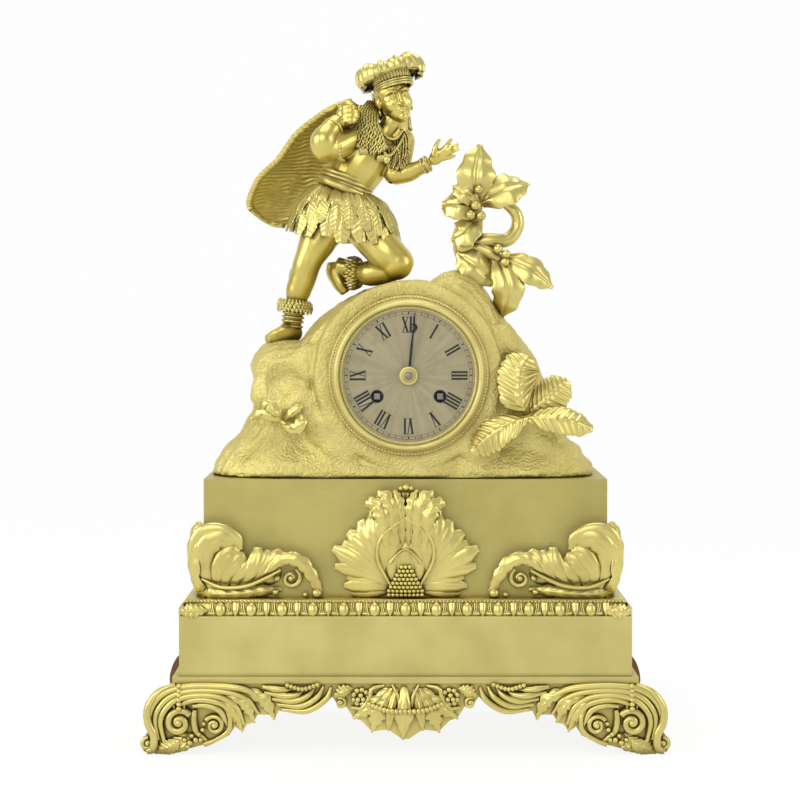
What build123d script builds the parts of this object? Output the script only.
from build123d import *
import os
from math import acos, atan2, cos, degrees, hypot, pi, radians, sin, sqrt

# Gilt bronze mantel clock with a running figure on a rock. Lengths are millimetres.
# The front faces -Y and +Z is up. The origin is the centre of the footprint, on the standing surface.
# Angles in the dial plane run from +X towards +Z, as seen from the front.

# Fits
RUNNING_CLEARANCE = 0.05
SEAT_GAP = 0.3
END_SHAKE = 0.3
CUT_OVERRUN = 3.0

# Base, from the ground up
FOOT_SPAN = 337.0
BASE_DEPTH = 132.0
APRON_HEIGHT = 45.0
APRON_THICKNESS = 5.0
APRON_RELIEF = 4.0
SIDE_APRON_THICKNESS = 5.0
BASE_PLATE_WIDTH = 296.0
BASE_PLATE_DEPTH = 124.0
BASE_PLATE_THICKNESS = 4.2
LOWER_PLINTH_WIDTH = 288.0
LOWER_PLINTH_DEPTH = 120.0
LOWER_PLINTH_HEIGHT = 37.3
PLINTH_WALL = 3.0
MOULDING_HEIGHT = 11.1
MOULDING_STEP = 6.0
MOULDING_BAND = 2.2
MOULDING_INNER_MARGIN = 10.0
EGG_PITCH = 19.65
EGG_HALF_WIDTH = 5.4
EGG_HALF_HEIGHT = 4.3
EGG_SUNK_SHARE = 0.55
UPPER_PLINTH_WIDTH = 259.0
UPPER_PLINTH_DEPTH = 92.0
UPPER_PLINTH_HEIGHT = 75.8
TIE_ROD_RADIUS = 2.5
TIE_BLOCK = 14.0
TIE_NUT_HEIGHT = 4.0
TIE_NUT_RADIUS = 5.0

# Gilt mounts on the upper plinth
MOUNT_THICKNESS = 3.0
MOUNT_RELIEF = 4.0
CENTRE_MOUNT_WIDTH = 93.5
CENTRE_MOUNT_HEIGHT = 72.0
CORNER_MOUNT_LENGTH = 77.0
CORNER_MOUNT_RETURN = 36.0
CORNER_MOUNT_HEIGHT = 46.0
CORNER_BULGE_RADIUS = 8.0
STUD_RADIUS = 1.5
STUD_NUT_RADIUS = 3.6
STUD_NUT_HEIGHT = 2.5
FRUIT_ROWS = 4

# Rock case
ROCK_WIDTH = 244.0
ROCK_DEPTH = 88.0
ROCK_WALL = 5.0
ROCK_SIDES = 14
ROCK_BOLT_RADIUS = 2.5
ROCK_LUG = 16.0
DIAL_X = 2.0
DIAL_RISE = 66.6
DRUM_RADIUS = 59.0
DRUM_COLLAR = 8.0
ROCK_WOBBLES = 3
ROCK_WOBBLE_SHIFT = 2.0

# Leaves and plant on the rock
LEAF_HALF_THICKNESS = 1.6
LEAF_STAND_OFF = 1.0
LEAF_LEVEL_STEP = 0.7
PLANT_STEM_RADIUS = 4.2
PLANT_LOOP_RADIUS = 2.9
PLANT_TWIG_RADIUS = 2.4
PLANT_BEND_RADIUS = 9.0
BERRY_RADIUS = 3.0
BERRY_STAND_OFF = 3.4

# Bezel, dial and hands
SLEEVE_RADIUS = 46.5
SLEEVE_WALL = 1.5
SLEEVE_LENGTH = 10.0
BEZEL_RADIUS = 51.0
BEZEL_HEIGHT = 5.6
BEZEL_BEAD_RADIUS = 1.2
BEZEL_OPENING_RADIUS = 42.6
DIAL_SEAT = 2.6
DIAL_THICKNESS = 1.2
WINDING_HOLE_RADIUS = 3.85
DIAL_FOOT_RADIUS = 1.5
HAND_THICKNESS = 0.8
MINUTE_HAND_LENGTH = 40.0
MINUTE_MOON_PLACE = 31.0
MOON_RADIUS = 2.5
MOON_OPENING_RADIUS = 1.7
HOUR_HAND_LENGTH = 24.0
HAND_HALF_WIDTH = 0.8
HAND_TIP_HALF_WIDTH = 0.25
HAND_BOSS_RADIUS = 4.8
HAND_COLLET_RADIUS = 2.6
HAND_TILT = 84.2

# Movement
PLATE_RADIUS = 42.0
PLATE_THICKNESS = 2.5
PLATE_SPACING = 33.0
MOTION_SPACE = 8.6
PILLAR_RADIUS = 2.0
ARBOR_RADIUS = 1.2
PIVOT_RADIUS = 0.5
FINE_ARBOR_RADIUS = 0.6
WHEEL_THICKNESS = 1.5
GREAT_WHEEL_THICKNESS = 2.5
BARREL_SPREAD = 20.2
BARREL_DROP = 13.4
BARREL_RADIUS = 18.0
BARREL_DEPTH = 16.0
WINDING_ARBOR_RADIUS = 3.0
WINDING_SQUARE = 3.8
RATCHET_RADIUS = 7.0
RATCHET_THICKNESS = 1.7
RATCHET_TEETH = 20
GREAT_MODULE = 0.5
GREAT_TEETH = 78
BARREL_PINION_TEETH = 13
SECOND_MODULE = 0.45
SECOND_TEETH = 80
CENTRE_PINION_TEETH = 10
CENTRE_MODULE = 0.42
CENTRE_TEETH = 80
THIRD_PINION_TEETH = 8
THIRD_MODULE = 0.36
THIRD_TEETH = 80
ESCAPE_PINION_TEETH = 6
ESCAPE_RADIUS = 10.0
ESCAPE_TEETH = 36
ESCAPE_RISE = 21.0
PALLET_RISE = 34.0
PALLET_GAP = 1.0
CANNON_MODULE = 0.5
CANNON_TEETH = 12
MINUTE_WHEEL_TEETH = 36
HOUR_MODULE = 0.48
HOUR_PINION_TEETH = 10
HOUR_TEETH = 40
CANNON_PIPE_RADIUS = 1.8
HOUR_PIPE_RADIUS = 2.6
PIN_WHEEL_REACH = 30.1
PIN_WHEEL_MODULE = 0.4
PIN_WHEEL_TEETH = 48
PIN_COUNT = 8
PIN_RADIUS = 0.6
FLY_PINION_TEETH = 6
FLY_RADIUS = 5.0

# Movement depths, measured back from the front plate, and small movement sizes
CENTRE_DEPTH = 2.0
GREAT_DEPTH = 5.0
BARREL_BODY_DEPTH = 8.0
ESCAPE_DEPTH = 20.0
THIRD_DEPTH = 26.0
SECOND_DEPTH = 30.0
PINION_MARGIN = 0.5
PIN_WHEEL_DEPTH = 1.5
PIN_LENGTH = 1.5
FLY_DEPTH = 8.0
FLY_LENGTH = 12.0
FLY_THICKNESS = 0.8
MINUTE_STUD_RADIUS = 1.0
PALLET_HOLE_RADIUS = 3.0
REAR_WINDING_PIVOT_RADIUS = 1.5
ESCAPE_WHEEL_THICKNESS = 1.2
CLICK_LENGTH = 6.0
CLICK_HALF_WIDTH = 1.2
MOTION_WHEEL_THICKNESS = 1.7
SPOKE_COUNT = 4
PALLET_ARM_HALF_WIDTH = 0.8

# Pendulum, bell, hammer and rear door
PENDULUM_LENGTH = 140.0
PENDULUM_ROD_RADIUS = 1.0
PENDULUM_Y_OFFSET = 10.8
PENDULUM_SWING = 3.0
BOB_RADIUS = 16.0
BOB_THICKNESS = 8.0
RATING_NUT_RADIUS = 3.0
RATING_NUT_HEIGHT = 3.0
CRUTCH_LENGTH = 30.0
CRUTCH_PIN_RADIUS = 0.8
COCK_THICKNESS = 2.5
COCK_STANDOFF = 5.3
SUSPENSION_STUD_RADIUS = 1.5
BELL_RADIUS = 30.0
BELL_DEPTH = 14.0
BELL_WALL = 1.6
BELL_STANDOFF = 17.8
BELL_X = 9.0
BELL_DROP = 6.0
BELL_POST_RADIUS = 2.5
HAMMER_X = -16.0
HAMMER_DROP = 35.5
HAMMER_HEAD_X = -27.5
HAMMER_HEAD_DROP = 12.0
HAMMER_HEAD_RADIUS = 4.0
HAMMER_ARM_RADIUS = 1.1
HAMMER_HUB_RADIUS = 2.1
REAR_RING_RADIUS = 53.0
REAR_RING_THICKNESS = 2.5
DOOR_RADIUS = 49.5
DOOR_THICKNESS = 1.5
HINGE_OFFSET = 56.0
HINGE_KNUCKLE_RADIUS = 2.2
HINGE_PIN_RADIUS = 1.0
HINGE_LENGTH = 24.0
STRAP_HALF_ANGLE = 5.0
REAR_SLEEVE_LENGTH = 6.0
DOOR_KNOB_RADIUS = 3.0
CRUTCH_STANDOFF = 1.8
CRUTCH_THICKNESS = 1.5
COCK_HALF_WIDTH = 9.0
COCK_HALF_HEIGHT = 4.0
COCK_LEG = 3.0
EYE_HALF_DEPTH = 1.5
EYE_WALL = 1.8
HAMMER_TAIL_HALF_WIDTH = 0.8
HAMMER_TAIL_THICKNESS = 1.1
HAMMER_TAIL_DEPTH = 3.2
CRUTCH_HALF_WIDTH = 1.2
PENDULUM_SLOT_WIDTH = 32.0
PENDULUM_SLOT_DEPTH = 16.0

# Figure
FIGURE_HEIGHT = 194.0
FIGURE_Y = -3.0
CLOAK_THICKNESS = 2.6
HEADDRESS_TILT = 17.0
SKIRT_FEATHERS = 16
PLUME_COUNT = 10

# Levels and planes
BASE_PLATE_Z = APRON_HEIGHT
LOWER_PLINTH_Z = BASE_PLATE_Z + BASE_PLATE_THICKNESS
MOULDING_Z = LOWER_PLINTH_Z + LOWER_PLINTH_HEIGHT
UPPER_PLINTH_Z = MOULDING_Z + MOULDING_HEIGHT
ROCK_Z = UPPER_PLINTH_Z + UPPER_PLINTH_HEIGHT
ROCK_HEIGHT = DIAL_RISE + DRUM_RADIUS
DIAL_Z = ROCK_Z + DIAL_RISE
DRUM_FRONT_Y = -ROCK_DEPTH / 2
DRUM_BACK_Y = ROCK_DEPTH / 2
DIAL_FRONT_Y = DRUM_FRONT_Y - DIAL_SEAT
DIAL_BACK_Y = DIAL_FRONT_Y + DIAL_THICKNESS
FRONT_PLATE_Y = DIAL_BACK_Y + MOTION_SPACE
TRAIN_Y = FRONT_PLATE_Y + PLATE_THICKNESS
BACK_PLATE_Y = TRAIN_Y + PLATE_SPACING
BEHIND_Y = BACK_PLATE_Y + PLATE_THICKNESS
PENDULUM_Y = BEHIND_Y + PENDULUM_Y_OFFSET
BELL_Y = BEHIND_Y + BELL_STANDOFF
APRON_FACE_Y = -(BASE_DEPTH / 2 - APRON_RELIEF)
APRON_BACK_Y = APRON_FACE_Y + APRON_THICKNESS
BORE_RADIUS = SLEEVE_RADIUS + SEAT_GAP
DIAL_RADIUS = SLEEVE_RADIUS - SLEEVE_WALL - SEAT_GAP


# Small builders

def box_between(low, high):
    """A block from its lowest to its highest corner."""
    size = [b - a for a, b in zip(low, high)]
    centre = [(a + b) / 2 for a, b in zip(low, high)]
    return Pos(*centre) * Box(*size)


def rod_y(place, radius, y_front, y_back):
    """A round rod along Y at a place (x, z)."""
    return extrude(front_plane(place, y_back) * Circle(radius), amount=y_back - y_front)


def rod_z(x, y, radius, z_low, z_high):
    """An upright round rod."""
    return Pos(x, y, (z_low + z_high) / 2) * Cylinder(radius, z_high - z_low)


def rod_between(start, end, radius):
    """A round rod from one point to another."""
    way = Vector(*end) - Vector(*start)
    return extrude(Plane(origin=start, z_dir=way) * Circle(radius), amount=way.length)


def front_plane(place, y):
    """A drawing plane at depth y whose axes are +X and +Z, centred on a place (x, z)."""
    return Plane(origin=(place[0], y, place[1]), x_dir=(1, 0, 0), z_dir=(0, -1, 0))


def slab(sketch, place, y_front, y_back):
    """A flat piece with a front-view outline, from one depth to another."""
    return extrude(front_plane(place, y_back) * sketch, amount=y_back - y_front)


def outline_face(runs, plane):
    """The face inside an outline of straight runs ("line") and smooth runs ("curve")."""
    edges = []
    for kind, points in runs:
        placed = [plane.from_local_coords(Vector(*point)) for point in points]
        if kind == "curve":
            edges.append(Edge.make_spline(placed))
        else:
            edges += [Edge.make_line(a, b) for a, b in zip(placed, placed[1:])]
    return Face(Wire(edges))


def scaled_runs(runs, width, height):
    """Outline runs written as shares, at their real width and height."""
    return [(kind, [(u * width, v * height) for u, v in points]) for kind, points in runs]


def section_planes(points, facing):
    """A plane across the way at each point, with its x axis square to the facing direction."""
    planes = []
    last = len(points) - 1
    for index, point in enumerate(points):
        along = (points[min(index + 1, last)] - points[max(index - 1, 0)]).normalized()
        planes.append(Plane(origin=point, x_dir=along.cross(facing), z_dir=along))
    return planes


def petal(spine, half_widths, half_thickness, facing):
    """A leaf: flat ellipses lofted along its midrib, broad side towards the facing direction."""
    planes = section_planes([Vector(*point) for point in spine], Vector(*facing))
    return loft([plane * Ellipse(width, half_thickness) for plane, width in zip(planes, half_widths)])


def limb(stations, facing=(0, -1, 0)):
    """A limb: circles lofted through (x, y, z, radius) stations."""
    planes = section_planes([Vector(*station[:3]) for station in stations], Vector(*facing))
    return loft([plane * Circle(station[3]) for plane, station in zip(planes, stations)])


def volute(place, radius, wire, y, hand):
    """A flat spiral ridge of round wire, wound inwards by half turns of shrinking radius."""
    ends = [radius - wire]
    while abs(ends[-1]) > 2 * wire:
        ends.append(-ends[-1] + (wire if ends[-1] > 0 else -wire))
    edges = []
    for index, (start, end) in enumerate(zip(ends, ends[1:])):
        side = hand if index % 2 == 0 else -hand
        middle = ((start + end) / 2, side * abs(start - end) / 2)
        points = [(place[0] + u, y, place[1] + v) for u, v in ((start, 0), middle, (end, 0))]
        edges.append(Edge.make_three_point_arc(*points))
    first = Plane(origin=edges[0] @ 0, z_dir=edges[0] % 0)
    eye = rod_y(place, wire, y - wire, y + wire)
    return sweep(first * Circle(wire), path=Wire(edges)) + eye


def ellipsoid(centre, half_width, half_depth, half_height):
    """A rounded body lofted through level ellipses."""
    level_shares = (-0.995, -0.8, -0.4, 0.0, 0.4, 0.8, 0.995)
    sections = []
    for share in level_shares:
        size = sqrt(1 - share * share)
        level = Plane(origin=(centre[0], centre[1], centre[2] + share * half_height))
        sections.append(level * Ellipse(half_width * size, half_depth * size))
    return loft(sections)


def one(shape):
    """The single largest solid of a shape."""
    return max(shape.solids(), key=lambda solid: solid.volume)


def group(shapes):
    """Separate solids kept together as one node."""
    return Compound(children=[one(shape) for shape in shapes])


# Base

APRON_RUN_SHARES = (
    ("line", ((0.0, 1.0), (0.0, 0.21))),
    ("curve", ((0.0, 0.21), (0.03, 0.28), (0.052, 0.37))),
    ("line", ((0.052, 0.37), (0.131, 0.31), (0.14, 0.43), (0.172, 0.46), (0.178, 0.54), (0.2, 0.51))),
    ("curve", ((0.2, 0.51), (0.225, 0.6), (0.25, 0.63), (0.277, 0.78))),
    ("curve", ((0.277, 0.78), (0.341, 0.63), (0.41, 0.583), (0.479, 0.6))),
    ("line", ((0.479, 0.6), (0.487, 0.486), (0.536, 0.576), (0.569, 0.46), (0.58, 0.5), (0.618, 0.32))),
    ("line", ((0.618, 0.32), (0.64, 0.36))),
    ("curve", ((0.64, 0.36), (0.674, 0.25), (0.757, 0.139), (0.83, 0.08), (0.9, 0.0))),
    ("line", ((0.9, 0.0), (0.964, 0.0))),
    ("curve", ((0.964, 0.0), (0.995, 0.06), (1.0, 0.17), (0.985, 0.29), (0.968, 0.34))),
    ("curve", ((0.968, 0.34), (0.978, 0.5), (0.97, 0.68), (0.944, 0.86), (0.895, 0.965), (0.86, 1.0))),
    ("line", ((0.86, 1.0), (0.0, 1.0))),
)
FOOT_RUN_SHARES = (
    ("line", ((0.64, 1.0), (0.64, 0.36))),
) + APRON_RUN_SHARES[7:11] + (
    ("line", ((0.86, 1.0), (0.64, 1.0))),
)
FOOT_VOLUTE_SHARES = (0.85, 0.46, 0.093)
SECOND_VOLUTE_SHARES = (0.72, 0.43, 0.066)
TOE_SHARES = (0.955, 0.16, 0.042)
PENDANT_VOLUTE_SHARES = (0.246, 0.69, 0.03)
PENDANT_LEAF_SHARES = (((0.0, 0.88), (0.0, 0.55), (0.0, 0.27)), (0.02, 0.05, 0.016))
APRON_LEAF_SHARES = (
    (((0.04, 0.82), (0.09, 0.6), (0.122, 0.38)), (0.016, 0.034, 0.014)),
    (((0.06, 0.88), (0.13, 0.72), (0.165, 0.53)), (0.014, 0.026, 0.012)),
    (((0.31, 0.9), (0.42, 0.8), (0.53, 0.76), (0.62, 0.52)), (0.014, 0.03, 0.036, 0.016)),
    (((0.3, 0.76), (0.4, 0.68), (0.5, 0.64)), (0.012, 0.026, 0.014)),
    (((0.42, 0.94), (0.58, 0.9), (0.74, 0.87), (0.86, 0.8)), (0.012, 0.02, 0.02, 0.012)),
)
RELIEF_HALF_SHARE = 0.5
VOLUTE_WIRE_SHARE = 0.15
VOLUTE_PROUD_SHARE = 0.2


def on_apron(u, v):
    """A place on the apron, from shares of half the foot span and of its height."""
    return (u * FOOT_SPAN / 2, v * APRON_HEIGHT)


def apron_leaf(spine, widths):
    """One raised leaf of the apron, lying in its face."""
    points = [(on_apron(u, v)[0], APRON_FACE_Y, on_apron(u, v)[1]) for u, v in spine]
    sizes = [width * FOOT_SPAN / 2 for width in widths]
    return petal(points, sizes, APRON_RELIEF * RELIEF_HALF_SHARE, (0, -1, 0))


def foot_relief():
    """The scrolls of the right front foot: two volutes and the curled toe."""
    pieces = []
    for u, v, radius in (FOOT_VOLUTE_SHARES, SECOND_VOLUTE_SHARES):
        size = radius * FOOT_SPAN / 2
        wire = VOLUTE_WIRE_SHARE * size
        pieces.append(volute(on_apron(u, v), size, wire, APRON_FACE_Y - VOLUTE_PROUD_SHARE * wire, 1))
    u, v, radius = TOE_SHARES
    pieces.append(rod_y(on_apron(u, v), radius * FOOT_SPAN / 2, APRON_FACE_Y - APRON_RELIEF, APRON_BACK_Y))
    return pieces


def apron_half():
    """The right half of the front apron with its foot."""
    plane = front_plane((0, 0), APRON_BACK_Y)
    plate = extrude(outline_face(scaled_runs(APRON_RUN_SHARES, FOOT_SPAN / 2, APRON_HEIGHT), plane),
                    amount=APRON_THICKNESS, dir=(0, -1, 0))
    u, v, radius = PENDANT_VOLUTE_SHARES
    curl = rod_y(on_apron(u, v), radius * FOOT_SPAN / 2, APRON_FACE_Y - APRON_RELIEF / 2, APRON_BACK_Y)
    leaves = [apron_leaf(spine, widths) for spine, widths in APRON_LEAF_SHARES]
    return plate + foot_relief() + curl + leaves


def front_apron():
    half = apron_half()
    return half + mirror(half, about=Plane.YZ) + apron_leaf(*PENDANT_LEAF_SHARES)


def rear_foot(side):
    """A rear foot, with the front foot's scrolls turned to the back."""
    plane = front_plane((0, 0), APRON_BACK_Y)
    plate = extrude(outline_face(scaled_runs(FOOT_RUN_SHARES, FOOT_SPAN / 2, APRON_HEIGHT), plane),
                    amount=APRON_THICKNESS, dir=(0, -1, 0))
    foot = mirror(plate + foot_relief(), about=Plane.XZ)
    return foot if side > 0 else mirror(foot, about=Plane.YZ)


SIDE_RUN_SHARES = (
    ("line", ((0.0, 1.0), (0.0, 0.3))),
    ("curve", ((0.0, 0.3), (0.1, 0.36), (0.16, 0.52))),
    ("curve", ((0.16, 0.52), (0.3, 0.66), (0.55, 0.72), (0.72, 0.5))),
    ("curve", ((0.72, 0.5), (0.8, 0.16), (0.9, 0.0))),
    ("line", ((0.9, 0.0), (1.0, 0.0), (1.0, 1.0), (0.0, 1.0))),
)


def side_apron(side):
    """The apron on one side, between the front apron and the rear foot."""
    x_inner = BASE_PLATE_WIDTH / 2 - SIDE_APRON_THICKNESS
    plane = Plane(origin=(x_inner, 0, 0), x_dir=(0, 1, 0), z_dir=(1, 0, 0))
    runs = scaled_runs(SIDE_RUN_SHARES, -APRON_BACK_Y, APRON_HEIGHT)
    half = extrude(outline_face(runs, plane), amount=SIDE_APRON_THICKNESS, dir=(1, 0, 0))
    apron = half + mirror(half, about=Plane.XZ)
    return apron if side > 0 else mirror(apron, about=Plane.YZ)


def tie_places():
    """The four places of the rods that tie the plinths to the base plate."""
    inset = PLINTH_WALL + TIE_BLOCK / 2
    x = UPPER_PLINTH_WIDTH / 2 - inset
    y = UPPER_PLINTH_DEPTH / 2 - inset
    return [(i * x, j * y) for i in (-1, 1) for j in (-1, 1)]


def base_plate():
    half_width = BASE_PLATE_WIDTH / 2
    half_depth = BASE_PLATE_DEPTH / 2
    plate = box_between((-half_width, -half_depth, BASE_PLATE_Z), (half_width, half_depth, LOWER_PLINTH_Z))
    for x, y in tie_places():
        plate -= rod_z(x, y, TIE_ROD_RADIUS, BASE_PLATE_Z - CUT_OVERRUN, LOWER_PLINTH_Z + CUT_OVERRUN)
    return plate


def plinth_shell(width, depth, z_low, z_high):
    """A box with four walls and a top, open below."""
    half_width = width / 2
    half_depth = depth / 2
    outer = box_between((-half_width, -half_depth, z_low), (half_width, half_depth, z_high))
    inner = box_between((PLINTH_WALL - half_width, PLINTH_WALL - half_depth, z_low - CUT_OVERRUN),
                        (half_width - PLINTH_WALL, half_depth - PLINTH_WALL, z_high - PLINTH_WALL))
    return outer - inner


def lower_plinth():
    plinth = plinth_shell(LOWER_PLINTH_WIDTH, LOWER_PLINTH_DEPTH, LOWER_PLINTH_Z, MOULDING_Z)
    for x, y in tie_places():
        plinth -= rod_z(x, y, TIE_ROD_RADIUS, MOULDING_Z - PLINTH_WALL - CUT_OVERRUN, MOULDING_Z + CUT_OVERRUN)
    return plinth


def egg(x, y, turn):
    """One egg of the moulding, turned to its side of the frame."""
    profile = Ellipse(EGG_HALF_WIDTH, EGG_HALF_HEIGHT) & Pos(EGG_HALF_WIDTH, 0) * Rectangle(
        2 * EGG_HALF_WIDTH, 4 * EGG_HALF_HEIGHT)
    body = revolve(Plane.XZ * profile, Axis.Z)
    middle_z = MOULDING_Z + (MOULDING_HEIGHT - MOULDING_BAND) / 2
    return Pos(x, y, middle_z) * Rot(0, 0, turn) * body


def egg_moulding():
    """The sloped frame between the plinths, with a plain band on top and a row of eggs all round."""
    slope_top = UPPER_PLINTH_Z - MOULDING_BAND
    low = Plane(origin=(0, 0, MOULDING_Z)) * Rectangle(LOWER_PLINTH_WIDTH, LOWER_PLINTH_DEPTH)
    top_width = LOWER_PLINTH_WIDTH - 2 * MOULDING_STEP
    top_depth = LOWER_PLINTH_DEPTH - 2 * MOULDING_STEP
    high = Plane(origin=(0, 0, slope_top)) * Rectangle(top_width, top_depth)
    band = box_between((-top_width / 2, -top_depth / 2, slope_top),
                       (top_width / 2, top_depth / 2, UPPER_PLINTH_Z))
    inner_width = UPPER_PLINTH_WIDTH - 2 * MOULDING_INNER_MARGIN
    inner_depth = UPPER_PLINTH_DEPTH - 2 * MOULDING_INNER_MARGIN
    opening = box_between((-inner_width / 2, -inner_depth / 2, MOULDING_Z - CUT_OVERRUN),
                          (inner_width / 2, inner_depth / 2, UPPER_PLINTH_Z + CUT_OVERRUN))
    egg_inset = MOULDING_STEP / 2 + EGG_SUNK_SHARE * EGG_HALF_WIDTH
    egg_x = LOWER_PLINTH_WIDTH / 2 - egg_inset
    egg_y = LOWER_PLINTH_DEPTH / 2 - egg_inset
    front_count = int((LOWER_PLINTH_WIDTH / 2 - EGG_PITCH / 2) / EGG_PITCH)
    side_count = int((LOWER_PLINTH_DEPTH / 2 - EGG_PITCH / 2) / EGG_PITCH)
    eggs = [egg(k * EGG_PITCH, j * egg_y, 0) for k in range(-front_count, front_count + 1) for j in (-1, 1)]
    eggs += [egg(i * egg_x, k * EGG_PITCH, 90) for k in range(-side_count, side_count + 1) for i in (-1, 1)]
    frame = loft([low, high], ruled=True) + band
    return (frame + eggs) - opening - tie_cuts(MOULDING_Z, UPPER_PLINTH_Z)


def tie_cuts(z_low, z_high):
    """Holes for the tie rods through the levels between two heights."""
    return [rod_z(x, y, TIE_ROD_RADIUS, z_low - CUT_OVERRUN, z_high + CUT_OVERRUN) for x, y in tie_places()]


def upper_plinth():
    """The tall plinth, with blocks for the tie rods, and slots and holes for what passes through it."""
    plinth = plinth_shell(UPPER_PLINTH_WIDTH, UPPER_PLINTH_DEPTH, UPPER_PLINTH_Z, ROCK_Z)
    half = TIE_BLOCK / 2
    top = UPPER_PLINTH_Z + TIE_BLOCK
    for x, y in tie_places():
        plinth += box_between((x - half, y - half, UPPER_PLINTH_Z), (x + half, y + half, top))
    plinth -= tie_cuts(UPPER_PLINTH_Z, top)
    half_width = PENDULUM_SLOT_WIDTH / 2
    half_depth = PENDULUM_SLOT_DEPTH / 2
    plinth -= box_between((DIAL_X - half_width, PENDULUM_Y - half_depth, ROCK_Z - PLINTH_WALL - CUT_OVERRUN),
                          (DIAL_X + half_width, PENDULUM_Y + half_depth, ROCK_Z + CUT_OVERRUN))
    for x in rock_bolt_places():
        plinth -= rod_z(x, 0, ROCK_BOLT_RADIUS, ROCK_Z - PLINTH_WALL - CUT_OVERRUN, ROCK_Z + CUT_OVERRUN)
    for x, z in stud_places():
        plinth -= rod_y((x, z), STUD_RADIUS, -UPPER_PLINTH_DEPTH / 2 - CUT_OVERRUN,
                        -UPPER_PLINTH_DEPTH / 2 + PLINTH_WALL + CUT_OVERRUN)
    return plinth


def tie_rods():
    """The four rods from the plinth's blocks to below the base plate, each with its nut."""
    rods = []
    for x, y in tie_places():
        rod = rod_z(x, y, TIE_ROD_RADIUS, BASE_PLATE_Z - TIE_NUT_HEIGHT, UPPER_PLINTH_Z + TIE_BLOCK)
        hexagon = Plane(origin=(x, y, BASE_PLATE_Z - TIE_NUT_HEIGHT)) * RegularPolygon(TIE_NUT_RADIUS, 6)
        rods.append(rod + extrude(hexagon, amount=TIE_NUT_HEIGHT))
    return group(rods)


# Gilt mounts on the upper plinth

CENTRE_RUN_SHARES = (
    ("line", ((0.0, 1.0), (0.0, 0.0), (0.23, 0.0), (0.49, 0.01))),
    ("curve", ((0.49, 0.01), (0.71, 0.03), (0.84, 0.09))),
    ("line", ((0.84, 0.09), (0.79, 0.19))),
    ("curve", ((0.79, 0.19), (0.96, 0.28), (0.99, 0.43))),
    ("line", ((0.99, 0.43), (0.85, 0.46))),
    ("curve", ((0.85, 0.46), (0.81, 0.57), (0.68, 0.6))),
    ("line", ((0.68, 0.6), (0.6, 0.7), (0.49, 0.74))),
    ("curve", ((0.49, 0.74), (0.53, 0.82), (0.46, 0.88), (0.34, 0.9), (0.18, 0.85), (0.12, 0.92))),
    ("curve", ((0.12, 0.92), (0.14, 0.97), (0.0, 1.0))),
)
CENTRE_LEAF_SHARES = (
    (((0.12, 0.5), (0.2, 0.66), (0.34, 0.79)), (0.05, 0.1, 0.06)),
    (((0.16, 0.44), (0.42, 0.52), (0.66, 0.55)), (0.05, 0.12, 0.05)),
    (((0.16, 0.36), (0.55, 0.37), (0.92, 0.38)), (0.05, 0.12, 0.05)),
    (((0.16, 0.26), (0.45, 0.2), (0.76, 0.12)), (0.05, 0.1, 0.05)),
    (((0.22, 0.12), (0.42, 0.09), (0.6, 0.06)), (0.04, 0.08, 0.04)),
)
CENTRE_BUD_SHARES = (((0.0, 0.3), (0.0, 0.43), (0.0, 0.6), (0.0, 0.86)), (0.12, 0.28, 0.14, 0.07))
CENTRE_CURL_SHARES = (0.37, 0.81, 0.12)
CENTRE_TOP_BEAD_SHARES = ((0.0, 0.965), (-0.12, 0.93), (0.12, 0.93))
FRUIT_BEAD_SHARE = 0.054
FRUIT_SWELL_SHARE = 1.1
TOP_BEAD_SHARE = 0.055
STUD_PLACE_SHARES = (0.3, 0.8)


def on_centre_mount(u, v):
    """A place (x, z) on the centre mount, from shares of its half width and height."""
    return (u * CENTRE_MOUNT_WIDTH / 2, UPPER_PLINTH_Z + v * CENTRE_MOUNT_HEIGHT)


def mount_face_y():
    """The front of the flat part of the mounts."""
    return -UPPER_PLINTH_DEPTH / 2 - MOUNT_THICKNESS


def mount_leaf(place, spine, widths, unit):
    """A raised leaf on a mount's face."""
    points = [(place(u, v)[0], mount_face_y(), place(u, v)[1]) for u, v in spine]
    return petal(points, [width * unit for width in widths], MOUNT_RELIEF * RELIEF_HALF_SHARE, (0, -1, 0))


def mount_bead(place, radius):
    """A round bead half sunk in a mount's face."""
    return Pos(place[0], mount_face_y(), place[1]) * Sphere(radius)


def stud_places():
    """Where the mounts' studs pass the front wall of the upper plinth."""
    places = [on_centre_mount(0, share) for share in STUD_PLACE_SHARES]
    for side in (-1, 1):
        for share in STUD_PLACE_SHARES:
            along = UPPER_PLINTH_WIDTH / 2 - share * CORNER_MOUNT_LENGTH
            places.append((side * along, UPPER_PLINTH_Z + CORNER_MOUNT_HEIGHT * STUD_PLACE_SHARES[0]))
    return places


def stud(place):
    """A threaded stud from a mount through the plinth wall to the end of its nut."""
    wall_back = -UPPER_PLINTH_DEPTH / 2 + PLINTH_WALL
    return rod_y(place, STUD_RADIUS, -UPPER_PLINTH_DEPTH / 2 - MOUNT_THICKNESS / 2, wall_back + STUD_NUT_HEIGHT)


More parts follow.
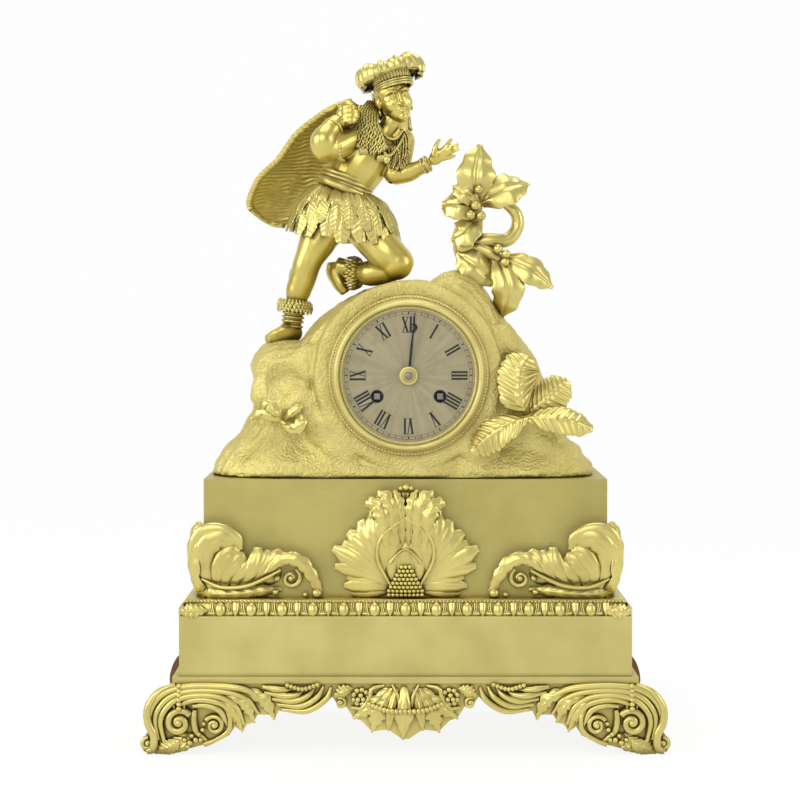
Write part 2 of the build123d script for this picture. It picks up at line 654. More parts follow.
def centre_mount():
    """The palmette with its bud, paired leaves, curls and cluster of fruit."""
    plane = front_plane((0, UPPER_PLINTH_Z), -UPPER_PLINTH_DEPTH / 2)
    runs = scaled_runs(CENTRE_RUN_SHARES, CENTRE_MOUNT_WIDTH / 2, CENTRE_MOUNT_HEIGHT)
    half = extrude(outline_face(runs, plane), amount=MOUNT_THICKNESS, dir=(0, -1, 0))
    unit = CENTRE_MOUNT_WIDTH / 2
    half += [mount_leaf(on_centre_mount, spine, widths, unit) for spine, widths in CENTRE_LEAF_SHARES]
    u, v, radius = CENTRE_CURL_SHARES
    half += rod_y(on_centre_mount(u, v), radius * unit, mount_face_y() - MOUNT_RELIEF, mount_face_y())
    mount = half + mirror(half, about=Plane.YZ)
    mount += mount_leaf(on_centre_mount, *CENTRE_BUD_SHARES, unit)
    bead = FRUIT_BEAD_SHARE * unit
    beads = []
    for row in range(FRUIT_ROWS):
        for step in range(row + 1):
            u_share = (2 * step - row) * FRUIT_BEAD_SHARE
            z = UPPER_PLINTH_Z + (2 * (FRUIT_ROWS - row) - 1) * bead
            beads.append(mount_bead((u_share * unit, z), bead * FRUIT_SWELL_SHARE))
    beads += [mount_bead(on_centre_mount(u, v), TOP_BEAD_SHARE * unit) for u, v in CENTRE_TOP_BEAD_SHARES]
    return mount + beads + [stud(place) for place in stud_places()[:2]]


CORNER_RUN_SHARES = (
    ("line", ((0.0, 0.0), (0.96, 0.0), (1.0, 0.06), (0.94, 0.14))),
    ("curve", ((0.94, 0.14), (0.92, 0.38), (0.79, 0.57), (0.65, 0.63))),
    ("line", ((0.65, 0.63), (0.6, 0.58), (0.56, 0.63), (0.51, 0.58), (0.46, 0.69), (0.35, 0.5))),
    ("curve", ((0.35, 0.5), (0.32, 0.68), (0.27, 0.88), (0.16, 0.99), (0.0, 0.97))),
    ("line", ((0.0, 0.97), (0.0, 0.0))),
)
CORNER_LEAF_SHARES = (
    (((0.06, 0.2), (0.3, 0.2), (0.6, 0.34), (0.78, 0.44)), (0.02, 0.05, 0.06, 0.03)),
    (((0.24, 0.26), (0.36, 0.4), (0.45, 0.58)), (0.02, 0.04, 0.02)),
    (((0.1, 0.28), (0.2, 0.5), (0.2, 0.8)), (0.03, 0.06, 0.03)),
    (((0.3, 0.1), (0.55, 0.12), (0.88, 0.1)), (0.02, 0.05, 0.03)),
)
CORNER_CURL_SHARES = (0.76, 0.26, 0.08)


def corner_mount(side):
    """The leaf scroll that wraps a lower corner of the upper plinth."""
    corner_x = UPPER_PLINTH_WIDTH / 2
    front_y = -UPPER_PLINTH_DEPTH / 2

    def on_mount(u, v):
        return (corner_x - u * CORNER_MOUNT_LENGTH, UPPER_PLINTH_Z + v * CORNER_MOUNT_HEIGHT)

    runs = scaled_runs(CORNER_RUN_SHARES, -CORNER_MOUNT_LENGTH, CORNER_MOUNT_HEIGHT)
    front = extrude(outline_face(runs, front_plane((corner_x, UPPER_PLINTH_Z), front_y)),
                    amount=MOUNT_THICKNESS, dir=(0, -1, 0))
    side_plane = Plane(origin=(corner_x, front_y, UPPER_PLINTH_Z), x_dir=(0, 1, 0), z_dir=(1, 0, 0))
    returned = scaled_runs(CORNER_RUN_SHARES, CORNER_MOUNT_RETURN, CORNER_MOUNT_HEIGHT)
    wing = extrude(outline_face(returned, side_plane), amount=MOUNT_THICKNESS, dir=(1, 0, 0))
    mount = front + wing
    mount += [mount_leaf(on_mount, spine, widths, CORNER_MOUNT_LENGTH)
              for spine, widths in CORNER_LEAF_SHARES]
    u, v, radius = CORNER_CURL_SHARES
    mount += volute(on_mount(u, v), radius * CORNER_MOUNT_LENGTH, MOUNT_RELIEF * RELIEF_HALF_SHARE,
                    mount_face_y(), -1)
    bulge = rod_z(corner_x, front_y, CORNER_BULGE_RADIUS, UPPER_PLINTH_Z, UPPER_PLINTH_Z + CORNER_MOUNT_HEIGHT)
    top = bulge.edges().sort_by(Axis.Z)[-1]
    bulge = fillet(top, CORNER_BULGE_RADIUS * RELIEF_HALF_SHARE)
    inside = box_between((-corner_x, front_y, UPPER_PLINTH_Z - CUT_OVERRUN), (corner_x, -front_y, ROCK_Z))
    first = 2 if side < 0 else 4
    mount = (mount + bulge) - inside
    mount = mount if side > 0 else mirror(mount, about=Plane.YZ)
    return mount + [stud(place) for place in stud_places()[first:first + 2]]


def stud_nuts():
    """The like nuts on the mounts' studs, inside the plinth wall, and on the bell's stud."""
    wall_back = -UPPER_PLINTH_DEPTH / 2 + PLINTH_WALL
    crown = BELL_Y + BELL_DEPTH
    nut = RegularPolygon(STUD_NUT_RADIUS, 6) - Circle(STUD_RADIUS)
    nuts = [slab(nut, place, wall_back, wall_back + STUD_NUT_HEIGHT) for place in stud_places()]
    return group(nuts + [slab(nut, bell_place(), crown, crown + STUD_NUT_HEIGHT)])


# Rock case

ROCK_SECTION_SHARES = (
    (0.0, -1.0, 0.99, 0.97),
    (0.17, -0.91, 0.92, 0.94),
    (0.4, -0.82, 0.79, 0.92),
    (0.6, -0.83, 0.68, 0.88),
    (0.672, -0.75, 0.635, 0.82),
    (0.69, -0.5, 0.625, 0.8),
    (0.85, -0.36, 0.52, 0.7),
    (1.03, -0.02, 0.4, 0.48),
)
ROCK_CORNER_SHARE = 0.55
ROCK_WOBBLE_SHARE = 0.02
LEDGE_SHARE = 0.672
ROCK_BOLT_SHARE = 0.84


def rock_row(row):
    """One level of the rock: its height, centre and half sizes across and deep."""
    rise, left, right, deep = row
    half = ROCK_WIDTH / 2
    z = ROCK_Z + rise * ROCK_HEIGHT
    return (z, (left + right) / 2 * half, (right - left) / 2 * half, deep * ROCK_DEPTH / 2)


def rock_loft(inset, drop):
    """The rock's body through its levels, each a rounded and uneven outline drawn in by an inset."""
    sections = []
    for index, row in enumerate(ROCK_SECTION_SHARES):
        z, centre_x, half_x, half_y = rock_row(row)
        points = []
        for step in range(ROCK_SIDES):
            angle = 2 * pi * (step + 0.5) / ROCK_SIDES
            swell = 1 + ROCK_WOBBLE_SHARE * sin(ROCK_WOBBLES * angle + ROCK_WOBBLE_SHIFT * index)
            c = cos(angle)
            s = sin(angle)
            u = abs(c) ** ROCK_CORNER_SHARE * (1 if c > 0 else -1)
            v = abs(s) ** ROCK_CORNER_SHARE * (1 if s > 0 else -1)
            points.append((centre_x + (half_x - inset) * u, (half_y - inset) * v * swell))
        level = z - (drop if index else CUT_OVERRUN if inset else 0)
        sections.append(Plane(origin=(0, 0, level)) * Polygon(*points, align=None))
    return loft(sections, ruled=True)


def rock_front_y(x, z):
    """The depth of the rock's front face at a place (x, z)."""
    rows = [rock_row(row) for row in ROCK_SECTION_SHARES]
    for low, high in zip(rows, rows[1:]):
        if low[0] <= z <= high[0]:
            t = (z - low[0]) / (high[0] - low[0])
            centre, half_x, half_y = (a + t * (b - a) for a, b in zip(low[1:], high[1:]))
            u = min(abs(x - centre) / half_x, 1)
            return -half_y * (1 - u ** (2 / ROCK_CORNER_SHARE)) ** (ROCK_CORNER_SHARE / 2)
    return 0


def rock_outer():
    """The rock without its hollow, with the drum that frames the dial."""
    return rock_loft(0, 0) + rod_y((DIAL_X, DIAL_Z), DRUM_RADIUS, DRUM_FRONT_Y, DRUM_BACK_Y)


def rock_bolt_places():
    """Where the two bolts hold the rock on the plinth."""
    return [side * ROCK_BOLT_SHARE * (ROCK_WIDTH / 2) for side in (-1, 1)]


def rock_case(outer):
    """The hollow casting, bored for the clock, with two lugs inside for its bolts."""
    hollow = rod_y((DIAL_X, DIAL_Z), DRUM_RADIUS - ROCK_WALL, DRUM_FRONT_Y + DRUM_COLLAR,
                   DRUM_BACK_Y - DRUM_COLLAR)
    rock = outer - rock_loft(ROCK_WALL, ROCK_WALL) - hollow
    for x in rock_bolt_places():
        half = ROCK_LUG / 2
        toward_wall = ROCK_LUG if x > 0 else -ROCK_LUG
        low = (min(x - half, x - half + toward_wall), -half, ROCK_Z)
        high = (max(x + half, x + half + toward_wall), half, ROCK_Z + ROCK_LUG)
        lug = box_between(low, high) & outer
        rock = rock + lug - rod_z(x, 0, ROCK_BOLT_RADIUS, ROCK_Z - CUT_OVERRUN, ROCK_Z + ROCK_LUG / 2)
    return rock - rod_y((DIAL_X, DIAL_Z), BORE_RADIUS, DRUM_FRONT_Y - CUT_OVERRUN, DRUM_BACK_Y + CUT_OVERRUN)


def rock_bolts():
    """Two bolts from the rock's lugs down through the plinth's top, with nuts below it."""
    bolts = []
    under = ROCK_Z - PLINTH_WALL
    for x in rock_bolt_places():
        bolt = rod_z(x, 0, ROCK_BOLT_RADIUS, under - TIE_NUT_HEIGHT, ROCK_Z + ROCK_LUG / 2)
        hexagon = Plane(origin=(x, 0, under - TIE_NUT_HEIGHT)) * RegularPolygon(TIE_NUT_RADIUS, 6)
        bolts.append(bolt + extrude(hexagon, amount=TIE_NUT_HEIGHT))
    return group(bolts)


SPRAY_LEAF_SHARES = (
    (((0.6, 0.265), (0.6, 0.47), (0.62, 0.63), (0.66, 0.69)), (0.03, 0.1, 0.085, 0.03)),
    (((0.595, 0.31), (0.74, 0.46), (0.82, 0.55)), (0.022, 0.055, 0.02)),
    (((0.57, 0.315), (0.78, 0.27), (0.92, 0.23)), (0.026, 0.065, 0.02)),
    (((0.67, 0.325), (0.48, 0.2), (0.36, 0.08)), (0.02, 0.065, 0.02)),
)
SPRIG_LEAF_SHARES = (
    (((-0.64, 0.28), (-0.7, 0.345), (-0.745, 0.42)), (0.02, 0.04, 0.016)),
    (((-0.63, 0.3), (-0.75, 0.28), (-0.86, 0.31)), (0.016, 0.028, 0.014)),
    (((-0.69, 0.275), (-0.59, 0.29), (-0.53, 0.37)), (0.018, 0.035, 0.014)),
    (((-0.68, 0.31), (-0.6, 0.245), (-0.54, 0.255)), (0.015, 0.03, 0.014)),
)
LEAF_DEPTH_SHARE = 0.3


def rock_leaves(shares, outer):
    """Leaves that lie on the rock's front, cut to its surface."""
    leaves = []
    half = ROCK_WIDTH / 2
    for level, (spine, widths) in enumerate(shares):
        points = []
        for u, v in spine:
            x = u * half
            z = ROCK_Z + v * ROCK_HEIGHT
            face = min(rock_front_y(x, z), -LEAF_DEPTH_SHARE * ROCK_DEPTH)
            y = face - LEAF_STAND_OFF - level * LEAF_LEVEL_STEP
            points.append((x, y, z))
        leaves.append(petal(points, [width * half for width in widths], LEAF_HALF_THICKNESS, (0, -1, 0)))
    spray = leaves[0] + leaves[1:]
    return one(spray - outer)


PLANT_TRUNK_SHARES = ((0.33, 0.98), (0.355, 1.1), (0.37, 1.24), (0.41, 1.42))
PLANT_LOOP_SHARES = ((0.37, 1.2), (0.5, 1.2), (0.6, 1.25), (0.61, 1.34), (0.53, 1.42))
PLANT_TWIG_SHARES = ((0.36, 1.13), (0.46, 1.14), (0.56, 1.1))
PLANT_LEAF_SHARES = (
    (((0.4, 1.38), (0.405, 1.54), (0.41, 1.72)), (0.02, 0.085, 0.02)),
    (((0.41, 1.4), (0.53, 1.47), (0.66, 1.53)), (0.02, 0.055, 0.018)),
    (((0.4, 1.38), (0.3, 1.4), (0.205, 1.43)), (0.02, 0.045, 0.018)),
    (((0.4, 1.4), (0.33, 1.46), (0.27, 1.52)), (0.02, 0.045, 0.018)),
    (((0.375, 1.28), (0.33, 1.24), (0.29, 1.2)), (0.02, 0.045, 0.018)),
    (((0.47, 1.02), (0.38, 1.08), (0.29, 1.16)), (0.02, 0.06, 0.02)),
    (((0.51, 1.1), (0.525, 0.97), (0.525, 0.83)), (0.02, 0.08, 0.02)),
    (((0.55, 1.1), (0.68, 1.05), (0.79, 0.985)), (0.02, 0.05, 0.018)),
)
PLANT_BERRY_SHARES = ((0.385, 1.4), (0.36, 1.35), (0.41, 1.345), (0.51, 1.16), (0.55, 1.13), (0.545, 1.1))
PLANT_Y_SHARE = -0.1


def on_plant(u, v, forward=0):
    """A point of the plant, from shares of the rock's half width and height."""
    return (u * ROCK_WIDTH / 2, PLANT_Y_SHARE * ROCK_DEPTH - forward, ROCK_Z + v * ROCK_HEIGHT)


def stem(shares, radius):
    """A bent round stem of straight runs and arcs."""
    path = FilletPolyline(*[on_plant(u, v) for u, v in shares], radius=PLANT_BEND_RADIUS)
    return sweep(Plane(origin=path @ 0, z_dir=path % 0) * Circle(radius), path=path)


def plant(outer):
    """The flowering plant on the rock's shoulder: stems, leaves and berries in one casting."""
    whole = stem(PLANT_TRUNK_SHARES, PLANT_STEM_RADIUS)
    whole += stem(PLANT_LOOP_SHARES, PLANT_LOOP_RADIUS)
    whole += stem(PLANT_TWIG_SHARES, PLANT_TWIG_RADIUS)
    half = ROCK_WIDTH / 2
    for spine, widths in PLANT_LEAF_SHARES:
        points = [on_plant(u, v, LEAF_STAND_OFF) for u, v in spine]
        whole += petal(points, [width * half for width in widths], LEAF_HALF_THICKNESS, (0, -1, 0))
    whole += [Pos(*on_plant(u, v, BERRY_STAND_OFF)) * Sphere(BERRY_RADIUS) for u, v in PLANT_BERRY_SHARES]
    return one(whole - outer)


# Figure. Places are shares of its height, from the ledge up and across from the middle of the case.

def on_figure(u, w, v):
    """A point of the figure from shares: across, towards the back and up."""
    ledge = ROCK_Z + LEDGE_SHARE * ROCK_HEIGHT
    return (u * FIGURE_HEIGHT, FIGURE_Y + w * FIGURE_HEIGHT, ledge + v * FIGURE_HEIGHT)


def figure_limb(shares):
    """A limb through stations written as shares: across, back, up and radius."""
    return limb([(*on_figure(u, w, v), r * FIGURE_HEIGHT) for u, w, v, r in shares])


STANDING_LEG_SHARES = (
    (-0.4, -0.02, 0.04, 0.026), (-0.39, -0.02, 0.085, 0.027), (-0.36, -0.02, 0.2, 0.04),
    (-0.338, -0.025, 0.272, 0.044), (-0.305, -0.02, 0.36, 0.056), (-0.25, -0.01, 0.44, 0.06),
)
STANDING_FOOT_SHARES = (
    (-0.362, -0.02, 0.026, 0.018), (-0.39, -0.02, 0.034, 0.027), (-0.43, -0.022, 0.026, 0.024),
    (-0.478, -0.025, 0.012, 0.012),
)
STANDING_CUFF_SHARES = (
    (-0.394, -0.02, 0.115, 0.04), (-0.38, -0.02, 0.148, 0.058), (-0.372, -0.02, 0.185, 0.044),
)
KNEELING_THIGH_SHARES = (
    (-0.18, 0.0, 0.43, 0.06), (-0.1, 0.0, 0.355, 0.055), (-0.03, 0.0, 0.285, 0.046), (0.0, 0.0, 0.255, 0.03),
)
KNEELING_SHIN_SHARES = (
    (-0.01, 0.0, 0.265, 0.04), (-0.07, 0.01, 0.262, 0.042), (-0.15, 0.015, 0.25, 0.032),
    (-0.19, 0.015, 0.25, 0.026),
)
KNEELING_FOOT_SHARES = (
    (-0.228, 0.015, 0.275, 0.018), (-0.215, 0.015, 0.25, 0.026), (-0.205, 0.015, 0.21, 0.022),
    (-0.2, 0.015, 0.17, 0.013),
)
KNEELING_CUFF_SHARES = (
    (-0.15, 0.015, 0.255, 0.036), (-0.175, 0.015, 0.25, 0.052), (-0.2, 0.015, 0.248, 0.036),
)
HIP_SHARES = (-0.21, -0.005, 0.44)
HIP_HALF_WIDTH_SHARE = 0.085
HIP_HALF_DEPTH_SHARE = 0.06


def figure_legs(outer):
    """Both legs with their feathered ankle cuffs, cut to the rock that they stand and kneel on."""
    legs = figure_limb(STANDING_LEG_SHARES)
    tables = (STANDING_FOOT_SHARES, STANDING_CUFF_SHARES, KNEELING_THIGH_SHARES, KNEELING_SHIN_SHARES,
              KNEELING_FOOT_SHARES, KNEELING_CUFF_SHARES)
    for shares in tables:
        legs += figure_limb(shares)
    hip = on_figure(*HIP_SHARES)
    legs += ellipsoid(hip, HIP_HALF_WIDTH_SHARE * FIGURE_HEIGHT, HIP_HALF_DEPTH_SHARE * FIGURE_HEIGHT,
                      HIP_HALF_DEPTH_SHARE * FIGURE_HEIGHT)
    return one(legs - outer)


SKIRT_LEVEL_SHARES = (
    (-0.203, 0.55, 0.098, 0.066, 0.0),
    (-0.21, 0.48, 0.14, 0.092, 0.05),
    (-0.218, 0.385, 0.19, 0.125, 0.12),
)
SKIRT_WALL_SHARE = 0.8


def skirt_loft(wall_share, overrun):
    """The flared form of the feather skirt, pleated towards its hem."""
    sections = []
    last = len(SKIRT_LEVEL_SHARES) - 1
    for index, (u, v, half_width, half_depth, pleat) in enumerate(SKIRT_LEVEL_SHARES):
        points = []
        for step in range(2 * SKIRT_FEATHERS):
            angle = pi * step / SKIRT_FEATHERS
            reach = (1 - pleat * (step % 2)) * wall_share * FIGURE_HEIGHT
            points.append((half_width * reach * cos(angle), half_depth * reach * sin(angle)))
        x, y, z = on_figure(u, 0, v)
        level = z - (overrun if index == last else 0)
        sections.append(Plane(origin=(x, y, level)) * Polygon(*points, align=None))
    return loft(sections, ruled=True)


def figure_skirt(legs):
    """The skirt of hanging feathers, a flared shell round the thighs."""
    inner = skirt_loft(SKIRT_WALL_SHARE, CUT_OVERRUN)
    return one(skirt_loft(1, 0) - Pos(0, 0, -CLOAK_THICKNESS) * inner - legs)


TORSO_SHARES = (
    (-0.205, 0.0, 0.535, 0.1, 0.066), (-0.19, 0.0, 0.59, 0.09, 0.062), (-0.135, 0.0, 0.68, 0.098, 0.07),
    (-0.105, 0.0, 0.735, 0.08, 0.058), (-0.08, 0.0, 0.765, 0.04, 0.036), (-0.065, 0.0, 0.79, 0.033, 0.032),
)
BELT_SHARES = ((-0.208, 0.0, 0.542, 0.108, 0.074), (-0.198, 0.0, 0.575, 0.106, 0.073))
COLLAR_SHARES = ((-0.115, -0.005, 0.72, 0.096, 0.07), (-0.098, -0.005, 0.755, 0.066, 0.058))


def oval_loft(shares):
    """A body lofted through ovals: across, back, up, half width and half depth as shares."""
    points = [Vector(*on_figure(u, w, v)) for u, w, v, _, _ in shares]
    planes = section_planes(points, Vector(0, -1, 0))
    return loft([plane * Ellipse(row[3] * FIGURE_HEIGHT, row[4] * FIGURE_HEIGHT)
                 for plane, row in zip(planes, shares)])


def figure_torso(skirt, legs):
    """The bare chest and neck, with the belt and the fur collar."""
    return one(oval_loft(TORSO_SHARES) + oval_loft(BELT_SHARES) + oval_loft(COLLAR_SHARES) - skirt - legs)


HEAD_CENTRE_SHARES = (-0.042, -0.012, 0.84)
HEAD_SIZE_SHARES = (0.052, 0.058, 0.074)
JAW_SHARES = (
    (-0.04, -0.02, 0.82, 0.04, 0.045), (-0.036, -0.03, 0.79, 0.022, 0.026),
    (-0.03, -0.034, 0.772, 0.012, 0.014),
)
NOSE_SHARES = ((-0.032, -0.066, 0.86, 0.006), (-0.03, -0.074, 0.84, 0.009), (-0.03, -0.068, 0.83, 0.009))
EAR_SHARES = (-0.075, -0.03, 0.84)
EAR_SIZE_SHARES = (0.008, 0.014, 0.018)


def figure_head(torso):
    """The head with plain even features."""
    size = [share * FIGURE_HEIGHT for share in HEAD_SIZE_SHARES]
    head = ellipsoid(on_figure(*HEAD_CENTRE_SHARES), *size)
    head += oval_loft(JAW_SHARES)
    head += figure_limb(NOSE_SHARES)
    head += ellipsoid(on_figure(*EAR_SHARES), *[share * FIGURE_HEIGHT for share in EAR_SIZE_SHARES])
    return one(head - torso)


HEADDRESS_SHARES = (-0.045, -0.008, 0.875)
HEADDRESS_LEVEL_SHARES = ((0.0, 0.062), (0.03, 0.064), (0.06, 0.085), (0.095, 0.075))
PLUME_RING_SHARE = 0.082
PLUME_SIZE_SHARES = (0.034, 0.034, 0.042)
PLUME_RISE_SHARE = 0.05
CREST_SHARES = ((0.035, 0.0, 0.1), (-0.02, -0.02, 0.1), (-0.02, 0.025, 0.095))


def figure_headdress(head, torso):
    """The tall feather headdress: a banded cup with a ring of curled plumes."""
    place = Pos(*on_figure(*HEADDRESS_SHARES)) * Rot(0, -HEADDRESS_TILT, 0)
    cup = loft([Plane(origin=(0, 0, v * FIGURE_HEIGHT)) * Circle(r * FIGURE_HEIGHT)
                for v, r in HEADDRESS_LEVEL_SHARES])
    size = [share * FIGURE_HEIGHT for share in PLUME_SIZE_SHARES]
    plumes = []
    for index in range(PLUME_COUNT):
        angle = 2 * pi * index / PLUME_COUNT
        ring = PLUME_RING_SHARE * FIGURE_HEIGHT
        centre = (ring * cos(angle), ring * sin(angle), PLUME_RISE_SHARE * FIGURE_HEIGHT)
        plumes.append(ellipsoid(centre, *size))
    for u, w, v in CREST_SHARES:
        plumes.append(ellipsoid((u * FIGURE_HEIGHT, w * FIGURE_HEIGHT, v * FIGURE_HEIGHT), *size))
    return one(place * (cup + plumes) - head - torso)


RIGHT_ARM_SHARES = (
    ((-0.14, -0.03, 0.735, 0.038), (-0.19, -0.05, 0.71, 0.042), (-0.24, -0.065, 0.685, 0.039),
     (-0.283, -0.075, 0.665, 0.034)),
    ((-0.29, -0.075, 0.655, 0.03), (-0.283, -0.078, 0.69, 0.04), (-0.263, -0.08, 0.735, 0.031),
     (-0.245, -0.08, 0.77, 0.025)),
    ((-0.252, -0.08, 0.76, 0.028), (-0.215, -0.08, 0.785, 0.034), (-0.185, -0.08, 0.802, 0.024)),
)
LEFT_ARM_SHARES = (
    ((-0.05, -0.03, 0.725, 0.04), (-0.035, -0.05, 0.68, 0.044), (-0.04, -0.065, 0.63, 0.038),
     (-0.042, -0.075, 0.59, 0.03)),
    ((-0.06, -0.078, 0.585, 0.026), (-0.03, -0.08, 0.59, 0.038), (0.02, -0.082, 0.6, 0.03),
     (0.07, -0.084, 0.618, 0.021)),
    ((0.06, -0.084, 0.614, 0.022), (0.09, -0.084, 0.63, 0.026), (0.12, -0.084, 0.65, 0.022)),
    ((0.1, -0.082, 0.645, 0.012), (0.108, -0.082, 0.68, 0.011), (0.114, -0.082, 0.705, 0.007)),
    ((0.118, -0.084, 0.65, 0.011), (0.142, -0.086, 0.685, 0.01), (0.156, -0.086, 0.708, 0.007)),
    ((0.118, -0.092, 0.645, 0.011), (0.152, -0.098, 0.672, 0.01), (0.172, -0.1, 0.695, 0.007)),
    ((0.118, -0.1, 0.64, 0.01), (0.15, -0.108, 0.652, 0.009), (0.17, -0.11, 0.666, 0.007)),
)


def figure_arm(tables, carriers):
    """One arm: its limbs joined, cut to the body that carries it."""
    arm = figure_limb(tables[0])
    for shares in tables[1:]:
        arm += figure_limb(shares)
    for carrier in carriers:
        arm -= carrier
    return one(arm)


CLOAK_RUN_SHARES = (
    ("curve", ((-0.1, 0.72), (-0.2, 0.82), (-0.285, 0.785), (-0.376, 0.715), (-0.437, 0.625), (-0.5, 0.57),
               (-0.536, 0.49))),
    ("curve", ((-0.536, 0.49), (-0.525, 0.46), (-0.45, 0.42), (-0.41, 0.405))),
    ("curve", ((-0.41, 0.405), (-0.31, 0.5), (-0.27, 0.58), (-0.19, 0.62), (-0.1, 0.62))),
    ("line", ((-0.1, 0.62), (-0.1, 0.72))),
)
CLOAK_CURVE_SHARE = 0.34
CLOAK_AXIS_SHARES = (-0.31, -0.26)


def figure_cloak(carriers):
    """The feather cloak that flies back from the shoulders, a thin curved sheet."""
    origin = on_figure(0, 0, 0)
    plane = front_plane((origin[0], origin[2]), ROCK_DEPTH)
    sheet = extrude(outline_face(scaled_runs(CLOAK_RUN_SHARES, FIGURE_HEIGHT, FIGURE_HEIGHT), plane),
                    amount=2 * ROCK_DEPTH, dir=(0, -1, 0))
    radius = CLOAK_CURVE_SHARE * FIGURE_HEIGHT
    x, y, z = on_figure(CLOAK_AXIS_SHARES[0], CLOAK_AXIS_SHARES[1], 0)
    top = z + FIGURE_HEIGHT
    tube = rod_z(x, y, radius, z, top) - rod_z(x, y, radius - CLOAK_THICKNESS, z, top)
    back_half = box_between((x - 2 * radius, y, z), (x + 2 * radius, y + 2 * radius, top))
    cloak = sheet & tube & back_half
    for carrier in carriers:
        cloak -= carrier
    return one(cloak)


# Wheel work

TOOTH_ROOT_SHARE = 0.24
TOOTH_TIP_SHARE = 0.1
ADDENDUM_SHARE = 0.9
DEDENDUM_SHARE = 1.3


def at(x, z):
    """A place (x, z) from offsets to the dial's centre."""
    return (DIAL_X + x, DIAL_Z + z)


def corner_between(first, second, first_reach, second_reach, turn):
    """The place at set distances from two places, on the left (1) or right (-1) of the line between them."""
    dx = second[0] - first[0]
    dz = second[1] - first[1]
    span = hypot(dx, dz)
    bend = acos((first_reach ** 2 + span ** 2 - second_reach ** 2) / (2 * first_reach * span))
    angle = atan2(dz, dx) + turn * bend
    return (first[0] + first_reach * cos(angle), first[1] + first_reach * sin(angle))


def mesh_phase(first, first_teeth, first_phase, second, second_teeth):
    """The phase that sets a second wheel's gaps on the first wheel's teeth."""
    line = atan2(second[1] - first[1], second[0] - first[0])
    offset = (first_phase - line) * first_teeth / (2 * pi)
    return line + pi - offset * 2 * pi / second_teeth + pi / second_teeth


def toothed(teeth, module, phase):
    """The outline of a wheel or pinion with straight-sided teeth."""
    pitch_radius = module * teeth / 2
    root = pitch_radius - DEDENDUM_SHARE * module
    tip = pitch_radius + ADDENDUM_SHARE * module
    step = 2 * pi / teeth
    corners = ((root, -TOOTH_ROOT_SHARE), (tip, -TOOTH_TIP_SHARE), (tip, TOOTH_TIP_SHARE),
               (root, TOOTH_ROOT_SHARE))
    points = []
    for index in range(teeth):
        for radius, share in corners:
            angle = phase + (index + share) * step
            points.append((radius * cos(angle), radius * sin(angle)))
    return Polygon(*points, align=None)


SPOKE_SHARE = 0.16
RIM_SHARE = 0.78
HUB_SHARE = 0.26


def crossed(sketch, pitch_radius):
    """A wheel outline with windows between its spokes."""
    window = Circle(RIM_SHARE * pitch_radius) - Circle(HUB_SHARE * pitch_radius)
    for index in range(SPOKE_COUNT // 2):
        bar = Rectangle(2 * pitch_radius, SPOKE_SHARE * pitch_radius)
        window -= Rot(0, 0, 45 + 180 * index / (SPOKE_COUNT // 2)) * bar
    return sketch - window


def wheel(place, teeth, module, phase, depth, thickness, windows=True):
    """A wheel or pinion between the plates, at a depth behind the front plate."""
    sketch = toothed(teeth, module, phase)
    if windows:
        sketch = crossed(sketch, module * teeth / 2)
    return slab(sketch, place, TRAIN_Y + depth, TRAIN_Y + depth + thickness)


def arbor(place, radius=ARBOR_RADIUS):
    """A plain arbor between the plates with a pivot in each."""
    shaft = rod_y(place, radius, TRAIN_Y + END_SHAKE, BACK_PLATE_Y - END_SHAKE)
    return shaft + rod_y(place, PIVOT_RADIUS, FRONT_PLATE_Y + END_SHAKE, BEHIND_Y - END_SHAKE)


# Train places

CENTRE = at(0, 0)
GOING = at(BARREL_SPREAD, -BARREL_DROP)
STRIKE = at(-BARREL_SPREAD, -BARREL_DROP)
GREAT_REACH = GREAT_MODULE * (GREAT_TEETH + BARREL_PINION_TEETH) / 2
SECOND_REACH = SECOND_MODULE * (SECOND_TEETH + CENTRE_PINION_TEETH) / 2
CENTRE_REACH = CENTRE_MODULE * (CENTRE_TEETH + THIRD_PINION_TEETH) / 2
THIRD_REACH = THIRD_MODULE * (THIRD_TEETH + ESCAPE_PINION_TEETH) / 2
FLY_REACH = PIN_WHEEL_MODULE * (PIN_WHEEL_TEETH + FLY_PINION_TEETH) / 2
MOTION_REACH = CANNON_MODULE * (CANNON_TEETH + MINUTE_WHEEL_TEETH) / 2
ESCAPE = at(0, ESCAPE_RISE)
PALLET = at(0, PALLET_RISE)
SECOND = corner_between(GOING, CENTRE, GREAT_REACH, SECOND_REACH, -1)
THIRD = corner_between(CENTRE, ESCAPE, CENTRE_REACH, THIRD_REACH, 1)
MINUTE = at(0, MOTION_REACH)
PIN_WHEEL = corner_between(STRIKE, CENTRE, GREAT_REACH, PIN_WHEEL_REACH, -1)
FLY = corner_between(PIN_WHEEL, GOING, FLY_REACH, hypot(FLY_REACH, BARREL_RADIUS) + FLY_RADIUS, -1)
HAMMER = at(HAMMER_X, -HAMMER_DROP)
ARBOR_PLACES = (SECOND, THIRD, ESCAPE, PIN_WHEEL, FLY, HAMMER)
PLATE_ANGLE_SHARES = (0.18, 0.32, 0.496, 0.804)
PILLAR_REACH_SHARE = 0.92
DIAL_FOOT_ANGLE_SHARES = (0.17, 0.5, 0.83)
DIAL_FOOT_REACH_SHARE = 0.92
MINUTE_STUD_SHARE = 0.2


def pillar_places():
    """The places of the pillars that hold the plates apart."""
    reach = PILLAR_REACH_SHARE * PLATE_RADIUS
    return [at(reach * cos(2 * pi * share), reach * sin(2 * pi * share)) for share in PLATE_ANGLE_SHARES]


